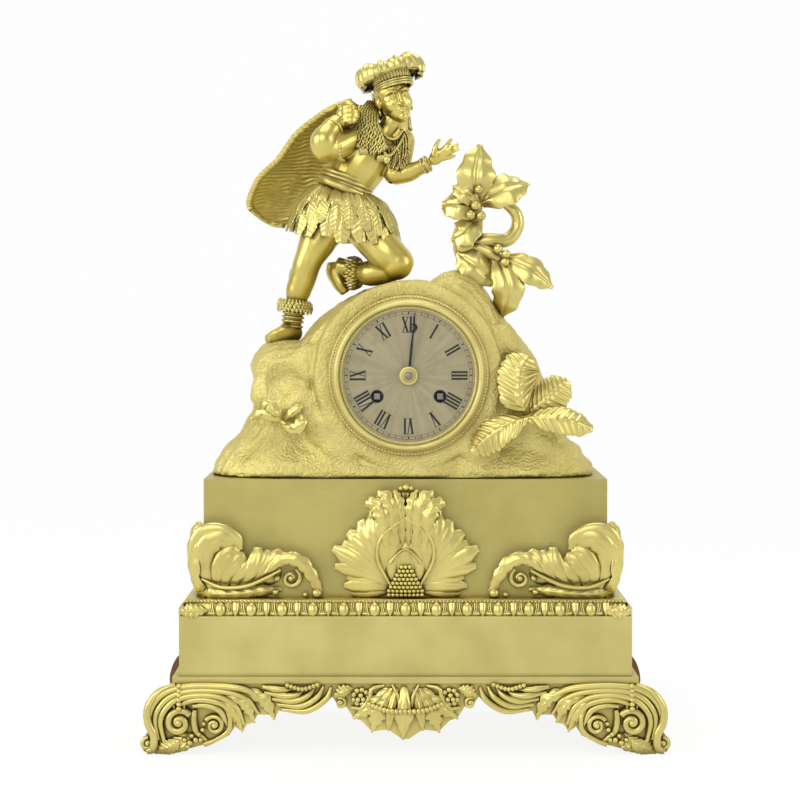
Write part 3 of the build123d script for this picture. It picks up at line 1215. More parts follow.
def plate(y_front, y_back, through):
    """A round movement plate with its pivot holes and larger holes (place, radius)."""
    body = rod_y(CENTRE, PLATE_RADIUS, y_front, y_back)
    holes = [(place, PIVOT_RADIUS + RUNNING_CLEARANCE) for place in ARBOR_PLACES] + list(through)
    for place, radius in holes:
        body -= rod_y(place, radius, y_front - CUT_OVERRUN, y_back + CUT_OVERRUN)
    return body


def front_plate():
    """The front plate, with the stud that carries the minute wheel."""
    winding = WINDING_ARBOR_RADIUS + RUNNING_CLEARANCE
    through = [(GOING, winding), (STRIKE, winding), (CENTRE, ARBOR_RADIUS + RUNNING_CLEARANCE),
               (PALLET, PIVOT_RADIUS + RUNNING_CLEARANCE)]
    body = plate(FRONT_PLATE_Y, TRAIN_Y, through)
    stud_front = DIAL_BACK_Y + MOTION_SPACE * MINUTE_STUD_SHARE
    return body + rod_y(MINUTE, MINUTE_STUD_RADIUS, stud_front, FRONT_PLATE_Y)


def back_plate():
    rear = REAR_WINDING_PIVOT_RADIUS + RUNNING_CLEARANCE
    through = [(GOING, rear), (STRIKE, rear), (CENTRE, PIVOT_RADIUS + RUNNING_CLEARANCE),
               (PALLET, PALLET_HOLE_RADIUS), (HAMMER, ARBOR_RADIUS + RUNNING_CLEARANCE)]
    return plate(BACK_PLATE_Y, BEHIND_Y, through)


def plate_pillars():
    return group([rod_y(place, PILLAR_RADIUS, TRAIN_Y, BACK_PLATE_Y) for place in pillar_places()])


CENTRE_PHASE = 0.0
PIN_WHEEL_PHASE = 0.0


def centre_phases():
    """The phases of the going train, each set from the wheel that it meshes with."""
    third = mesh_phase(CENTRE, CENTRE_TEETH, CENTRE_PHASE, THIRD, THIRD_PINION_TEETH)
    escape = mesh_phase(THIRD, THIRD_TEETH, 0.0, ESCAPE, ESCAPE_PINION_TEETH)
    second = mesh_phase(CENTRE, CENTRE_PINION_TEETH, 0.0, SECOND, SECOND_TEETH)
    great = mesh_phase(SECOND, BARREL_PINION_TEETH, 0.0, GOING, GREAT_TEETH)
    return third, escape, second, great


def centre_arbor():
    """The centre arbor with its wheel and pinion, long enough in front to carry the cannon pinion."""
    body = wheel(CENTRE, CENTRE_TEETH, CENTRE_MODULE, CENTRE_PHASE, CENTRE_DEPTH, WHEEL_THICKNESS)
    body += wheel(CENTRE, CENTRE_PINION_TEETH, SECOND_MODULE, 0.0, SECOND_DEPTH - PINION_MARGIN,
                  WHEEL_THICKNESS + 2 * PINION_MARGIN, False)
    body += rod_y(CENTRE, ARBOR_RADIUS, MINUTE_HAND_Y, BACK_PLATE_Y - END_SHAKE)
    return body + rod_y(CENTRE, PIVOT_RADIUS, BACK_PLATE_Y - CUT_OVERRUN, BEHIND_Y - END_SHAKE)


def second_wheel():
    _, _, phase, _ = centre_phases()
    body = arbor(SECOND) + wheel(SECOND, SECOND_TEETH, SECOND_MODULE, phase, SECOND_DEPTH, WHEEL_THICKNESS)
    return body + wheel(SECOND, BARREL_PINION_TEETH, GREAT_MODULE, 0.0, GREAT_DEPTH - PINION_MARGIN,
                        GREAT_WHEEL_THICKNESS + 2 * PINION_MARGIN, False)


def third_wheel():
    phase, _, _, _ = centre_phases()
    body = arbor(THIRD) + wheel(THIRD, THIRD_TEETH, THIRD_MODULE, 0.0, THIRD_DEPTH, WHEEL_THICKNESS)
    return body + wheel(THIRD, THIRD_PINION_TEETH, CENTRE_MODULE, phase, CENTRE_DEPTH - PINION_MARGIN,
                        WHEEL_THICKNESS + 2 * PINION_MARGIN, False)


ESCAPE_ROOT_SHARE = 0.8
ESCAPE_LEAN_SHARE = 0.55


def escape_wheel():
    """The escape wheel: leaning pointed teeth."""
    _, phase, _, _ = centre_phases()
    points = []
    step = 2 * pi / ESCAPE_TEETH
    for index in range(ESCAPE_TEETH):
        root_angle = index * step
        tip_angle = (index + ESCAPE_LEAN_SHARE) * step
        root = ESCAPE_ROOT_SHARE * ESCAPE_RADIUS
        points.append((root * cos(root_angle), root * sin(root_angle)))
        points.append((ESCAPE_RADIUS * cos(tip_angle), ESCAPE_RADIUS * sin(tip_angle)))
    sketch = crossed(Polygon(*points, align=None), ESCAPE_ROOT_SHARE * ESCAPE_RADIUS)
    y = TRAIN_Y + ESCAPE_DEPTH
    body = arbor(ESCAPE, FINE_ARBOR_RADIUS) + slab(sketch, ESCAPE, y, y + ESCAPE_WHEEL_THICKNESS)
    return body + wheel(ESCAPE, ESCAPE_PINION_TEETH, THIRD_MODULE, phase, THIRD_DEPTH - PINION_MARGIN,
                        WHEEL_THICKNESS + 2 * PINION_MARGIN, False)


def barrel(place, phase):
    """A going or striking barrel: the great wheel and the spring drum, free on its winding arbor."""
    drum_y = TRAIN_Y + BARREL_BODY_DEPTH
    body = wheel(place, GREAT_TEETH, GREAT_MODULE, phase, GREAT_DEPTH, GREAT_WHEEL_THICKNESS, False)
    body += rod_y(place, BARREL_RADIUS, TRAIN_Y + GREAT_DEPTH + GREAT_WHEEL_THICKNESS, drum_y + BARREL_DEPTH)
    bore = WINDING_ARBOR_RADIUS + RUNNING_CLEARANCE
    return body - rod_y(place, bore, TRAIN_Y, BACK_PLATE_Y)


RATCHET_LEAN_SHARE = 0.12
RATCHET_ROOT_SHARE = 0.86
RATCHET_Y = FRONT_PLATE_Y - END_SHAKE - RATCHET_THICKNESS


def winding_arbor(place):
    """A winding arbor: ratchet in front of the plate, round bearing and a square for the key."""
    points = []
    for index in range(RATCHET_TEETH):
        for radius_share, lean in ((1.0, 0.0), (RATCHET_ROOT_SHARE, RATCHET_LEAN_SHARE)):
            angle = 2 * pi * (index + lean) / RATCHET_TEETH
            radius = radius_share * RATCHET_RADIUS
            points.append((radius * cos(angle), radius * sin(angle)))
    body = slab(Polygon(*points, align=None), place, RATCHET_Y, RATCHET_Y + RATCHET_THICKNESS)
    body += rod_y(place, WINDING_ARBOR_RADIUS, RATCHET_Y, BACK_PLATE_Y - END_SHAKE)
    body += slab(Rectangle(WINDING_SQUARE, WINDING_SQUARE), place, DIAL_FRONT_Y + END_SHAKE, RATCHET_Y)
    return body + rod_y(place, REAR_WINDING_PIVOT_RADIUS, BACK_PLATE_Y - CUT_OVERRUN, BEHIND_Y - END_SHAKE)


def ratchet_clicks():
    """The two clicks on the front plate, standing just off their ratchets."""
    clicks = []
    for side, place in ((1, GOING), (-1, STRIKE)):
        z = place[1] - RATCHET_RADIUS - SEAT_GAP - CLICK_HALF_WIDTH
        low = (place[0] - CLICK_LENGTH / 2, RATCHET_Y, z - CLICK_HALF_WIDTH)
        high = (place[0] + CLICK_LENGTH / 2, FRONT_PLATE_Y, z + CLICK_HALF_WIDTH)
        pin = rod_y((place[0] + side * CLICK_LENGTH / 2, z), CLICK_HALF_WIDTH, RATCHET_Y, FRONT_PLATE_Y)
        clicks.append(box_between(low, high) + pin)
    return group(clicks)


# Hands and motion work

HOUR_HAND_Y = DIAL_FRONT_Y - SEAT_GAP - HAND_THICKNESS - DIAL_THICKNESS / 2
MINUTE_HAND_Y = HOUR_HAND_Y - SEAT_GAP - HAND_THICKNESS
CANNON_WHEEL_Y = FRONT_PLATE_Y - SEAT_GAP - 2 * RUNNING_CLEARANCE
CANNON_FRONT_Y = CANNON_WHEEL_Y - MOTION_WHEEL_THICKNESS
HOUR_WHEEL_Y = CANNON_FRONT_Y - SEAT_GAP
HOUR_FRONT_Y = HOUR_WHEEL_Y - MOTION_WHEEL_THICKNESS


def cannon_pinion():
    """The pinion and pipe on the centre arbor that carries the minute hand."""
    body = slab(toothed(CANNON_TEETH, CANNON_MODULE, 0.0), CENTRE, CANNON_FRONT_Y, CANNON_WHEEL_Y)
    body += rod_y(CENTRE, CANNON_PIPE_RADIUS, MINUTE_HAND_Y, CANNON_WHEEL_Y)
    return body - rod_y(CENTRE, ARBOR_RADIUS, MINUTE_HAND_Y - CUT_OVERRUN, FRONT_PLATE_Y)


def minute_wheel():
    """The minute wheel and its pinion, on the front plate's stud."""
    phase = mesh_phase(CENTRE, CANNON_TEETH, 0.0, MINUTE, MINUTE_WHEEL_TEETH)
    body = slab(toothed(MINUTE_WHEEL_TEETH, CANNON_MODULE, phase), MINUTE, CANNON_FRONT_Y, CANNON_WHEEL_Y)
    body += slab(toothed(HOUR_PINION_TEETH, HOUR_MODULE, 0.0), MINUTE, HOUR_FRONT_Y, CANNON_FRONT_Y)
    return body - rod_y(MINUTE, MINUTE_STUD_RADIUS + RUNNING_CLEARANCE, DIAL_BACK_Y, FRONT_PLATE_Y)


def hour_wheel():
    """The hour wheel and its pipe, free on the cannon pinion."""
    phase = mesh_phase(MINUTE, HOUR_PINION_TEETH, 0.0, CENTRE, HOUR_TEETH)
    body = slab(toothed(HOUR_TEETH, HOUR_MODULE, phase), CENTRE, HOUR_FRONT_Y, HOUR_WHEEL_Y)
    body += rod_y(CENTRE, HOUR_PIPE_RADIUS, HOUR_HAND_Y, HOUR_FRONT_Y)
    bore = CANNON_PIPE_RADIUS + RUNNING_CLEARANCE
    return body - rod_y(CENTRE, bore, HOUR_HAND_Y - CUT_OVERRUN, CANNON_FRONT_Y)


HAND_WIDEST_SHARE = 0.35


def hand_outline(length):
    """A slim tapered hand, widest a third of the way out."""
    widest = HAND_WIDEST_SHARE * length
    points = [(0, -HAND_HALF_WIDTH / 2), (widest, -HAND_HALF_WIDTH), (length, -HAND_TIP_HALF_WIDTH),
              (length, HAND_TIP_HALF_WIDTH), (widest, HAND_HALF_WIDTH), (0, HAND_HALF_WIDTH / 2)]
    return Polygon(*points, align=None)


def minute_hand():
    """The minute hand with an open moon near its tip, and its boss and collet."""
    moon = Pos(MINUTE_MOON_PLACE, 0) * Circle(MOON_RADIUS)
    opening = Pos(MINUTE_MOON_PLACE, MOON_RADIUS - MOON_OPENING_RADIUS - HAND_TIP_HALF_WIDTH)
    sketch = (hand_outline(MINUTE_HAND_LENGTH) + moon) - opening * Circle(MOON_OPENING_RADIUS)
    sketch = Rot(0, 0, HAND_TILT) * sketch + Circle(HAND_BOSS_RADIUS)
    body = slab(sketch, CENTRE, MINUTE_HAND_Y, MINUTE_HAND_Y + HAND_THICKNESS)
    body -= rod_y(CENTRE, CANNON_PIPE_RADIUS, MINUTE_HAND_Y - CUT_OVERRUN, MINUTE_HAND_Y + CUT_OVERRUN)
    return body + rod_y(CENTRE, HAND_COLLET_RADIUS, MINUTE_HAND_Y - HAND_THICKNESS, MINUTE_HAND_Y)


def hour_hand():
    """The plain slim hour hand, under the minute hand."""
    sketch = Rot(0, 0, HAND_TILT) * hand_outline(HOUR_HAND_LENGTH) + Circle(HAND_BOSS_RADIUS)
    body = slab(sketch, CENTRE, HOUR_HAND_Y, HOUR_HAND_Y + HAND_THICKNESS)
    return body - rod_y(CENTRE, HOUR_PIPE_RADIUS, HOUR_HAND_Y - CUT_OVERRUN, HOUR_HAND_Y + CUT_OVERRUN)


# Bezel, dial and back

BEZEL_RUN_SHARES = (
    (0.0, 0.45), (0.22, 0.45), (0.34, 0.62), (0.5, 0.9), (0.62, 1.0), (0.8, 1.0),
)


def bezel():
    """The bezel: a sleeve in the rock's bore, and a moulding with a bead ring at each edge."""
    inner = SLEEVE_RADIUS - SLEEVE_WALL
    points = [(SLEEVE_RADIUS, DRUM_FRONT_Y + SLEEVE_LENGTH), (SLEEVE_RADIUS, DRUM_FRONT_Y),
              (BEZEL_RADIUS, DRUM_FRONT_Y)]
    width = BEZEL_RADIUS - BEZEL_OPENING_RADIUS
    points += [(BEZEL_RADIUS - u * width, DRUM_FRONT_Y - v * BEZEL_HEIGHT) for u, v in BEZEL_RUN_SHARES]
    points += [(BEZEL_OPENING_RADIUS, DIAL_FRONT_Y - DIAL_THICKNESS), (BEZEL_OPENING_RADIUS, DIAL_FRONT_Y),
               (inner, DIAL_FRONT_Y), (inner, DRUM_FRONT_Y + SLEEVE_LENGTH)]
    ring = revolve(Polygon(*points, align=None), Axis.Y)
    bead_y = DRUM_FRONT_Y - BEZEL_HEIGHT * BEZEL_RUN_SHARES[0][1]
    bead_ring = Torus(BEZEL_RADIUS - BEZEL_BEAD_RADIUS, BEZEL_BEAD_RADIUS)
    ring += Pos(0, bead_y, 0) * Rot(90, 0, 0) * bead_ring
    return Pos(DIAL_X, 0, DIAL_Z) * ring


def dial_foot_places():
    """The places of the three feet that hold the dial on the front plate."""
    reach = DIAL_FOOT_REACH_SHARE * PLATE_RADIUS
    return [at(reach * cos(2 * pi * share), reach * sin(2 * pi * share)) for share in DIAL_FOOT_ANGLE_SHARES]


def dial():
    body = rod_y(CENTRE, DIAL_RADIUS, DIAL_FRONT_Y, DIAL_BACK_Y)
    for place in dial_foot_places():
        body += rod_y(place, DIAL_FOOT_RADIUS, DIAL_BACK_Y, FRONT_PLATE_Y)
    for place, radius in ((GOING, WINDING_HOLE_RADIUS), (STRIKE, WINDING_HOLE_RADIUS),
                          (CENTRE, HOUR_PIPE_RADIUS + SEAT_GAP)):
        body -= rod_y(place, radius, DIAL_FRONT_Y - CUT_OVERRUN, DIAL_BACK_Y + CUT_OVERRUN)
    return body


def sleeve_ring(y_front, y_back):
    """The full sleeve wall between two depths."""
    return rod_y(CENTRE, SLEEVE_RADIUS, y_front, y_back) - rod_y(
        CENTRE, SLEEVE_RADIUS - SLEEVE_WALL, y_front - CUT_OVERRUN, y_back + CUT_OVERRUN)


def bezel_straps():
    """Two straps that draw the bezel and the rear ring together through the rock."""
    y_front = DRUM_FRONT_Y + SLEEVE_LENGTH
    y_back = DRUM_BACK_Y - REAR_SLEEVE_LENGTH
    half = SLEEVE_RADIUS * sin(radians(STRAP_HALF_ANGLE))
    straps = []
    for side in (-1, 1):
        low = (DIAL_X + min(0, side * BEZEL_RADIUS), y_front, DIAL_Z - half)
        high = (DIAL_X + max(0, side * BEZEL_RADIUS), y_back, DIAL_Z + half)
        straps.append(sleeve_ring(y_front, y_back) & box_between(low, high))
    return group(straps)


HINGE_X = DIAL_X - HINGE_OFFSET
HINGE_Y = DRUM_BACK_Y + REAR_RING_THICKNESS + SEAT_GAP + HINGE_KNUCKLE_RADIUS
KNUCKLE_SHARE = 0.3


def hinge_barrel(share_low, share_high, radius):
    """A stretch of the hinge barrel, between shares of its length."""
    z_low = DIAL_Z - HINGE_LENGTH / 2
    return rod_z(HINGE_X, HINGE_Y, radius, z_low + share_low * HINGE_LENGTH, z_low + share_high * HINGE_LENGTH)


def rear_ring():
    """The ring round the back opening, with two hinge knuckles."""
    y_back = DRUM_BACK_Y + REAR_RING_THICKNESS
    ring = rod_y(CENTRE, REAR_RING_RADIUS, DRUM_BACK_Y, y_back)
    ring += sleeve_ring(DRUM_BACK_Y - REAR_SLEEVE_LENGTH, y_back)
    ring -= rod_y(CENTRE, SLEEVE_RADIUS - SLEEVE_WALL, DRUM_BACK_Y - CUT_OVERRUN, y_back + CUT_OVERRUN)
    z_low = DIAL_Z - HINGE_LENGTH / 2
    for low, high in ((0, KNUCKLE_SHARE), (1 - KNUCKLE_SHARE, 1)):
        lug = box_between((HINGE_X - HINGE_KNUCKLE_RADIUS, DRUM_BACK_Y, z_low + low * HINGE_LENGTH),
                          (HINGE_X + 2 * HINGE_KNUCKLE_RADIUS, y_back, z_low + high * HINGE_LENGTH))
        neck = box_between((HINGE_X - HINGE_KNUCKLE_RADIUS, y_back, z_low + low * HINGE_LENGTH),
                           (HINGE_X + HINGE_KNUCKLE_RADIUS / 2, HINGE_Y, z_low + high * HINGE_LENGTH))
        ring += lug + neck + hinge_barrel(low, high, HINGE_KNUCKLE_RADIUS)
    return ring - hinge_barrel(-1, 2, HINGE_PIN_RADIUS)


def hinge_pin():
    return hinge_barrel(0, 1, HINGE_PIN_RADIUS)


DOOR_KNOB_SHARE = 0.84


def rear_door():
    """The round rear door with its hinge knuckle and a small knob."""
    y_front = DRUM_BACK_Y + REAR_RING_THICKNESS + SEAT_GAP
    door = rod_y(CENTRE, DOOR_RADIUS, y_front, y_front + DOOR_THICKNESS)
    gap = SEAT_GAP / HINGE_LENGTH
    low = KNUCKLE_SHARE + gap
    high = 1 - KNUCKLE_SHARE - gap
    z_low = DIAL_Z - HINGE_LENGTH / 2
    tab = box_between((HINGE_X, y_front, z_low + low * HINGE_LENGTH),
                      (DIAL_X - DOOR_RADIUS / 2, y_front + DOOR_THICKNESS, z_low + high * HINGE_LENGTH))
    door += tab + hinge_barrel(low, high, HINGE_KNUCKLE_RADIUS)
    clear = [box_between((HINGE_X - 2 * HINGE_KNUCKLE_RADIUS, y_front - CUT_OVERRUN, z_low + a * HINGE_LENGTH),
                         (HINGE_X + HINGE_KNUCKLE_RADIUS + SEAT_GAP, HINGE_Y + 2 * HINGE_KNUCKLE_RADIUS,
                          z_low + b * HINGE_LENGTH)) for a, b in ((-1, low), (high, 2))]
    knob_x = DIAL_X + DOOR_KNOB_SHARE * DOOR_RADIUS
    knob = Pos(knob_x, y_front + DOOR_THICKNESS, DIAL_Z) * Sphere(DOOR_KNOB_RADIUS)
    knob &= box_between((DIAL_X, y_front, DIAL_Z - DOOR_RADIUS),
                        (DIAL_X + DOOR_RADIUS, y_front + 2 * DOOR_KNOB_RADIUS, DIAL_Z + DOOR_RADIUS))
    return (door + knob) - clear - hinge_barrel(-1, 2, HINGE_PIN_RADIUS + RUNNING_CLEARANCE)


# Escapement, pendulum and strike

PALLET_REACH = ESCAPE_RADIUS + PALLET_GAP
PALLET_HALF_SPAN_SHARE = 0.75
CRUTCH_Y = BEHIND_Y + CRUTCH_STANDOFF


def pallet_anchor():
    """The anchor on its arbor, with the crutch and its two pins behind the back plate."""
    y = TRAIN_Y + ESCAPE_DEPTH
    half_span = PALLET_HALF_SPAN_SHARE * ESCAPE_RADIUS
    foot_z = ESCAPE_RISE + sqrt(PALLET_REACH ** 2 - half_span ** 2) - PALLET_RISE
    body = rod_y(PALLET, 2 * ARBOR_RADIUS, y, y + ESCAPE_WHEEL_THICKNESS)
    for side in (-1, 1):
        far = side * (half_span + PALLET_ARM_HALF_WIDTH)
        outer = [(0, PALLET_ARM_HALF_WIDTH), (far, -PALLET_ARM_HALF_WIDTH), (far, foot_z + PALLET_GAP),
                 (side * half_span, foot_z + PALLET_GAP), (side * half_span, -2 * PALLET_ARM_HALF_WIDTH),
                 (0, -PALLET_ARM_HALF_WIDTH)]
        body += slab(Polygon(*outer, align=None), PALLET, y, y + ESCAPE_WHEEL_THICKNESS)
    cock_y = BEHIND_Y + COCK_STANDOFF
    body += rod_y(PALLET, ARBOR_RADIUS, TRAIN_Y + END_SHAKE, cock_y - END_SHAKE)
    body += rod_y(PALLET, PIVOT_RADIUS, FRONT_PLATE_Y + END_SHAKE, cock_y + COCK_THICKNESS / 2)
    arm = Pos(0, -CRUTCH_LENGTH / 2) * Rectangle(2 * CRUTCH_HALF_WIDTH, CRUTCH_LENGTH)
    fork_width = 4 * (PENDULUM_ROD_RADIUS + CRUTCH_PIN_RADIUS)
    fork = Pos(0, -CRUTCH_LENGTH) * Rectangle(fork_width, 2 * CRUTCH_HALF_WIDTH)
    body += slab(arm + fork + Circle(2 * ARBOR_RADIUS), PALLET, CRUTCH_Y, CRUTCH_Y + CRUTCH_THICKNESS)
    for side in (-1, 1):
        pin_x = side * (PENDULUM_ROD_RADIUS + CRUTCH_PIN_RADIUS + SEAT_GAP)
        place = (PALLET[0] + pin_x, PALLET[1] - CRUTCH_LENGTH)
        body += rod_y(place, CRUTCH_PIN_RADIUS, CRUTCH_Y, PENDULUM_Y + 2 * PENDULUM_ROD_RADIUS)
    return body


def suspension_cock():
    """The cock behind the back plate: two legs, a bridge, and the stud that the pendulum hangs on."""
    y = BEHIND_Y + COCK_STANDOFF
    x, z = PALLET
    bridge = box_between((x - COCK_HALF_WIDTH, y, z - COCK_HALF_HEIGHT),
                         (x + COCK_HALF_WIDTH, y + COCK_THICKNESS, z + COCK_HALF_HEIGHT))
    for side in (-1, 1):
        inner = x + side * (COCK_HALF_WIDTH - COCK_LEG)
        outer = x + side * COCK_HALF_WIDTH
        bridge += box_between((min(inner, outer), BEHIND_Y, z - COCK_HALF_HEIGHT),
                              (max(inner, outer), y, z + COCK_HALF_HEIGHT))
    pivot_end = y + COCK_THICKNESS / 2 + END_SHAKE
    stud_end = PENDULUM_Y + EYE_HALF_DEPTH + END_SHAKE
    bridge -= rod_y(PALLET, PIVOT_RADIUS + RUNNING_CLEARANCE, y - CUT_OVERRUN, pivot_end)
    return bridge + rod_y(PALLET, SUSPENSION_STUD_RADIUS, y + COCK_THICKNESS, stud_end)


def bob_z():
    """The height of the bob's centre."""
    return PALLET[1] - PENDULUM_LENGTH


def pendulum_rod():
    """The rod with the eye that hangs on the stud, threaded through the bob to the rating nut."""
    eye_radius = SUSPENSION_STUD_RADIUS + RUNNING_CLEARANCE + EYE_WALL
    body = rod_y(PALLET, eye_radius, PENDULUM_Y - EYE_HALF_DEPTH, PENDULUM_Y + EYE_HALF_DEPTH)
    low = bob_z() - BOB_RADIUS - RATING_NUT_HEIGHT
    body += rod_z(PALLET[0], PENDULUM_Y, PENDULUM_ROD_RADIUS, low, PALLET[1] - SUSPENSION_STUD_RADIUS)
    return body - rod_y(PALLET, SUSPENSION_STUD_RADIUS + RUNNING_CLEARANCE, PENDULUM_Y - CUT_OVERRUN,
                        PENDULUM_Y + CUT_OVERRUN)


BOB_EDGE_SHARE = 0.25
BOB_BELLY_SHARES = (0.6, 0.72)


def pendulum_bob():
    """The lens-shaped bob, bored for the rod."""
    half = BOB_THICKNESS / 2
    edge = BOB_EDGE_SHARE * half
    middle = (BOB_BELLY_SHARES[0] * BOB_RADIUS, BOB_BELLY_SHARES[1] * half)
    rim = [Line((0, -half), (0, half)), ThreePointArc((0, half), middle, (BOB_RADIUS, edge)),
           Line((BOB_RADIUS, edge), (BOB_RADIUS, -edge)),
           ThreePointArc((BOB_RADIUS, -edge), (middle[0], -middle[1]), (0, -half))]
    lens = revolve(make_face(rim), Axis.Y)
    bob = Pos(PALLET[0], PENDULUM_Y, bob_z()) * lens
    cut = BOB_RADIUS + CUT_OVERRUN
    return bob - rod_z(PALLET[0], PENDULUM_Y, PENDULUM_ROD_RADIUS, bob_z() - cut, bob_z() + cut)


def rating_nut():
    """The knurled nut that carries the bob."""
    high = bob_z() - BOB_RADIUS
    nut = rod_z(PALLET[0], PENDULUM_Y, RATING_NUT_RADIUS, high - RATING_NUT_HEIGHT, high)
    return nut - rod_z(PALLET[0], PENDULUM_Y, PENDULUM_ROD_RADIUS, high - BOB_RADIUS, high + CUT_OVERRUN)


def strike_phases():
    """The phases of the strike train, set from the pin wheel."""
    great = mesh_phase(PIN_WHEEL, BARREL_PINION_TEETH, 0.0, STRIKE, GREAT_TEETH)
    fly_phase = mesh_phase(PIN_WHEEL, PIN_WHEEL_TEETH, PIN_WHEEL_PHASE, FLY, FLY_PINION_TEETH)
    return great, fly_phase


PIN_RING_SHARE = 0.72


def pin_wheel():
    """The pin wheel, whose pins lift the hammer."""
    body = arbor(PIN_WHEEL)
    body += wheel(PIN_WHEEL, PIN_WHEEL_TEETH, PIN_WHEEL_MODULE, PIN_WHEEL_PHASE, PIN_WHEEL_DEPTH,
                  WHEEL_THICKNESS, False)
    body += wheel(PIN_WHEEL, BARREL_PINION_TEETH, GREAT_MODULE, 0.0, GREAT_DEPTH - PINION_MARGIN / 2,
                  GREAT_WHEEL_THICKNESS + PINION_MARGIN, False)
    ring = PIN_RING_SHARE * PIN_WHEEL_MODULE * PIN_WHEEL_TEETH / 2
    y = TRAIN_Y + PIN_WHEEL_DEPTH + WHEEL_THICKNESS
    for index in range(PIN_COUNT):
        angle = 2 * pi * (index + 0.5) / PIN_COUNT
        place = (PIN_WHEEL[0] + ring * cos(angle), PIN_WHEEL[1] + ring * sin(angle))
        body += rod_y(place, PIN_RADIUS, y, y + PIN_LENGTH)
    return body


def fly():
    """The fly: a flat vane that steadies the strike by air drag."""
    _, phase = strike_phases()
    body = arbor(FLY, FINE_ARBOR_RADIUS)
    body += wheel(FLY, FLY_PINION_TEETH, PIN_WHEEL_MODULE, phase, PIN_WHEEL_DEPTH - PINION_MARGIN,
                  WHEEL_THICKNESS + 2 * PINION_MARGIN, False)
    vane = Rectangle(2 * FLY_RADIUS, FLY_THICKNESS)
    return body + slab(vane, FLY, TRAIN_Y + FLY_DEPTH, TRAIN_Y + FLY_DEPTH + FLY_LENGTH)


HAMMER_ARM_Y = BELL_Y + BELL_DEPTH / 2 - HAMMER_HEAD_RADIUS


def hammer():
    """The hammer on its arbor, with the tail that the pins lift and a drum head beside the bell."""
    dx = PIN_WHEEL[0] - HAMMER[0]
    dz = PIN_WHEEL[1] - HAMMER[1]
    ring = PIN_RING_SHARE * PIN_WHEEL_MODULE * PIN_WHEEL_TEETH / 2
    reach = hypot(dx, dz) - ring - PIN_RADIUS - 2 * SEAT_GAP
    tail = Rot(0, 0, degrees(atan2(dz, dx))) * Pos(reach / 2, 0) * Rectangle(reach, 2 * HAMMER_TAIL_HALF_WIDTH)
    y = TRAIN_Y + HAMMER_TAIL_DEPTH
    body = slab(tail, HAMMER, y, y + HAMMER_TAIL_THICKNESS)
    arm_y = HAMMER_ARM_Y + HAMMER_ARM_RADIUS
    body += rod_y(HAMMER, ARBOR_RADIUS, TRAIN_Y + END_SHAKE, arm_y)
    body += rod_y(HAMMER, HAMMER_HUB_RADIUS, arm_y - HAMMER_HUB_RADIUS, arm_y + HAMMER_HUB_RADIUS)
    body += rod_y(HAMMER, PIVOT_RADIUS, FRONT_PLATE_Y + END_SHAKE, TRAIN_Y + CUT_OVERRUN)
    head = at(HAMMER_HEAD_X, -HAMMER_HEAD_DROP)
    body += rod_between((HAMMER[0], arm_y, HAMMER[1]), (head[0], arm_y, head[1]), HAMMER_ARM_RADIUS)
    half = HAMMER_HEAD_RADIUS
    return body + Pos(head[0], arm_y, head[1]) * Rot(0, 90, 0) * Cylinder(half, 2 * half - SEAT_GAP)


def bell_place():
    """The bell's centre (x, z)."""
    return at(BELL_X, -BELL_DROP)


def bell_stand():
    """The post on the back plate that carries the bell inside its crown."""
    crown = BELL_Y + BELL_DEPTH
    post = rod_y(bell_place(), BELL_POST_RADIUS, BEHIND_Y, crown - BELL_WALL)
    return post + rod_y(bell_place(), STUD_RADIUS, crown - BELL_WALL, crown + STUD_NUT_HEIGHT)


BELL_RUN_SHARES = ((0.0, 1.0), (0.16, 1.0), (0.55, 0.95), (0.85, 0.7), (0.95, 0.3), (1.0, 0.0))


def bell_profile(inset):
    """Half the bell's section, inside or outside."""
    return [(u * BELL_RADIUS - (inset if u else 0), BELL_Y + v * BELL_DEPTH - (inset if v else 0))
            for u, v in BELL_RUN_SHARES]


def bell():
    """The saucer bell, open to the front, bored for its stud."""
    outer = bell_profile(0)
    inner = bell_profile(BELL_WALL)
    shell = revolve(Polygon(*outer, *reversed(inner), align=None), Axis.Y)
    x, z = bell_place()
    return Pos(x, 0, z) * shell - rod_y((x, z), STUD_RADIUS, BELL_Y, BELL_Y + 2 * BELL_DEPTH)


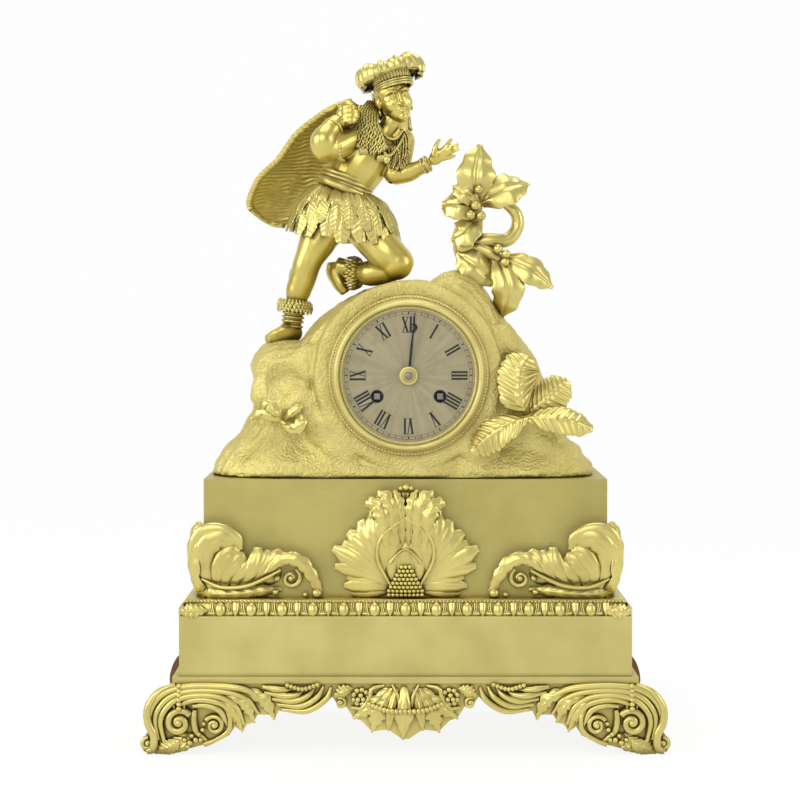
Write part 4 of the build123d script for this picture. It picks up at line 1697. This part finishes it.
def main():
    """Build every piece and write each one to its own file."""
    outer = rock_outer()
    legs = figure_legs(outer)
    skirt = figure_skirt(legs)
    torso = figure_torso(skirt, legs)
    head = figure_head(torso)
    headdress = figure_headdress(head, torso)
    right_arm = figure_arm(RIGHT_ARM_SHARES, (torso, head, headdress))
    left_arm = figure_arm(LEFT_ARM_SHARES, (torso, head, skirt))
    cloak = figure_cloak((torso, skirt, legs, right_arm, left_arm, head, headdress))
    great_phase = centre_phases()[3]
    pieces = {
        "front_apron": front_apron(),
        "rear_foot_left": rear_foot(-1),
        "rear_foot_right": rear_foot(1),
        "left_side_apron": side_apron(-1),
        "right_side_apron": side_apron(1),
        "base_plate": base_plate(),
        "lower_plinth": lower_plinth(),
        "egg_moulding": egg_moulding(),
        "upper_plinth": upper_plinth(),
        "tie_rods": tie_rods(),
        "centre_mount": centre_mount(),
        "corner_mount_left": corner_mount(-1),
        "corner_mount_right": corner_mount(1),
        "stud_nuts": stud_nuts(),
        "rock_case": rock_case(outer),
        "rock_bolts": rock_bolts(),
        "leaf_spray_right": rock_leaves(SPRAY_LEAF_SHARES, outer),
        "leaf_sprig_left": rock_leaves(SPRIG_LEAF_SHARES, outer),
        "plant": plant(outer),
        "figure_legs": legs,
        "figure_skirt": skirt,
        "figure_torso": torso,
        "figure_head": head,
        "figure_headdress": headdress,
        "figure_right_arm": right_arm,
        "figure_left_arm": left_arm,
        "figure_cloak": cloak,
        "bezel": bezel(),
        "dial": dial(),
        "front_plate": front_plate(),
        "back_plate": back_plate(),
        "plate_pillars": plate_pillars(),
        "bezel_straps": bezel_straps(),
        "rear_ring": rear_ring(),
        "hinge_pin": hinge_pin(),
        "rear_door": rear_door(),
        "suspension_cock": suspension_cock(),
        "bell_stand": bell_stand(),
        "bell": bell(),
        "ratchet_clicks": ratchet_clicks(),
        "centre_arbor": centre_arbor(),
        "cannon_pinion": cannon_pinion(),
        "minute_hand": minute_hand(),
        "minute_wheel": minute_wheel(),
        "hour_wheel": hour_wheel(),
        "hour_hand": hour_hand(),
        "going_barrel": barrel(GOING, great_phase),
        "going_winding_arbor": winding_arbor(GOING),
        "second_wheel": second_wheel(),
        "third_wheel": third_wheel(),
        "escape_wheel": escape_wheel(),
        "pallet_anchor": pallet_anchor(),
        "pendulum_rod": pendulum_rod(),
        "pendulum_bob": pendulum_bob(),
        "rating_nut": rating_nut(),
        "strike_barrel": barrel(STRIKE, strike_phases()[0]),
        "strike_winding_arbor": winding_arbor(STRIKE),
        "pin_wheel": pin_wheel(),
        "fly": fly(),
        "hammer": hammer(),
    }
    os.makedirs("parts", exist_ok=True)
    for name, shape in pieces.items():
        export_step(shape, f"parts/{name}.step")


if __name__ == "__main__":
    main()
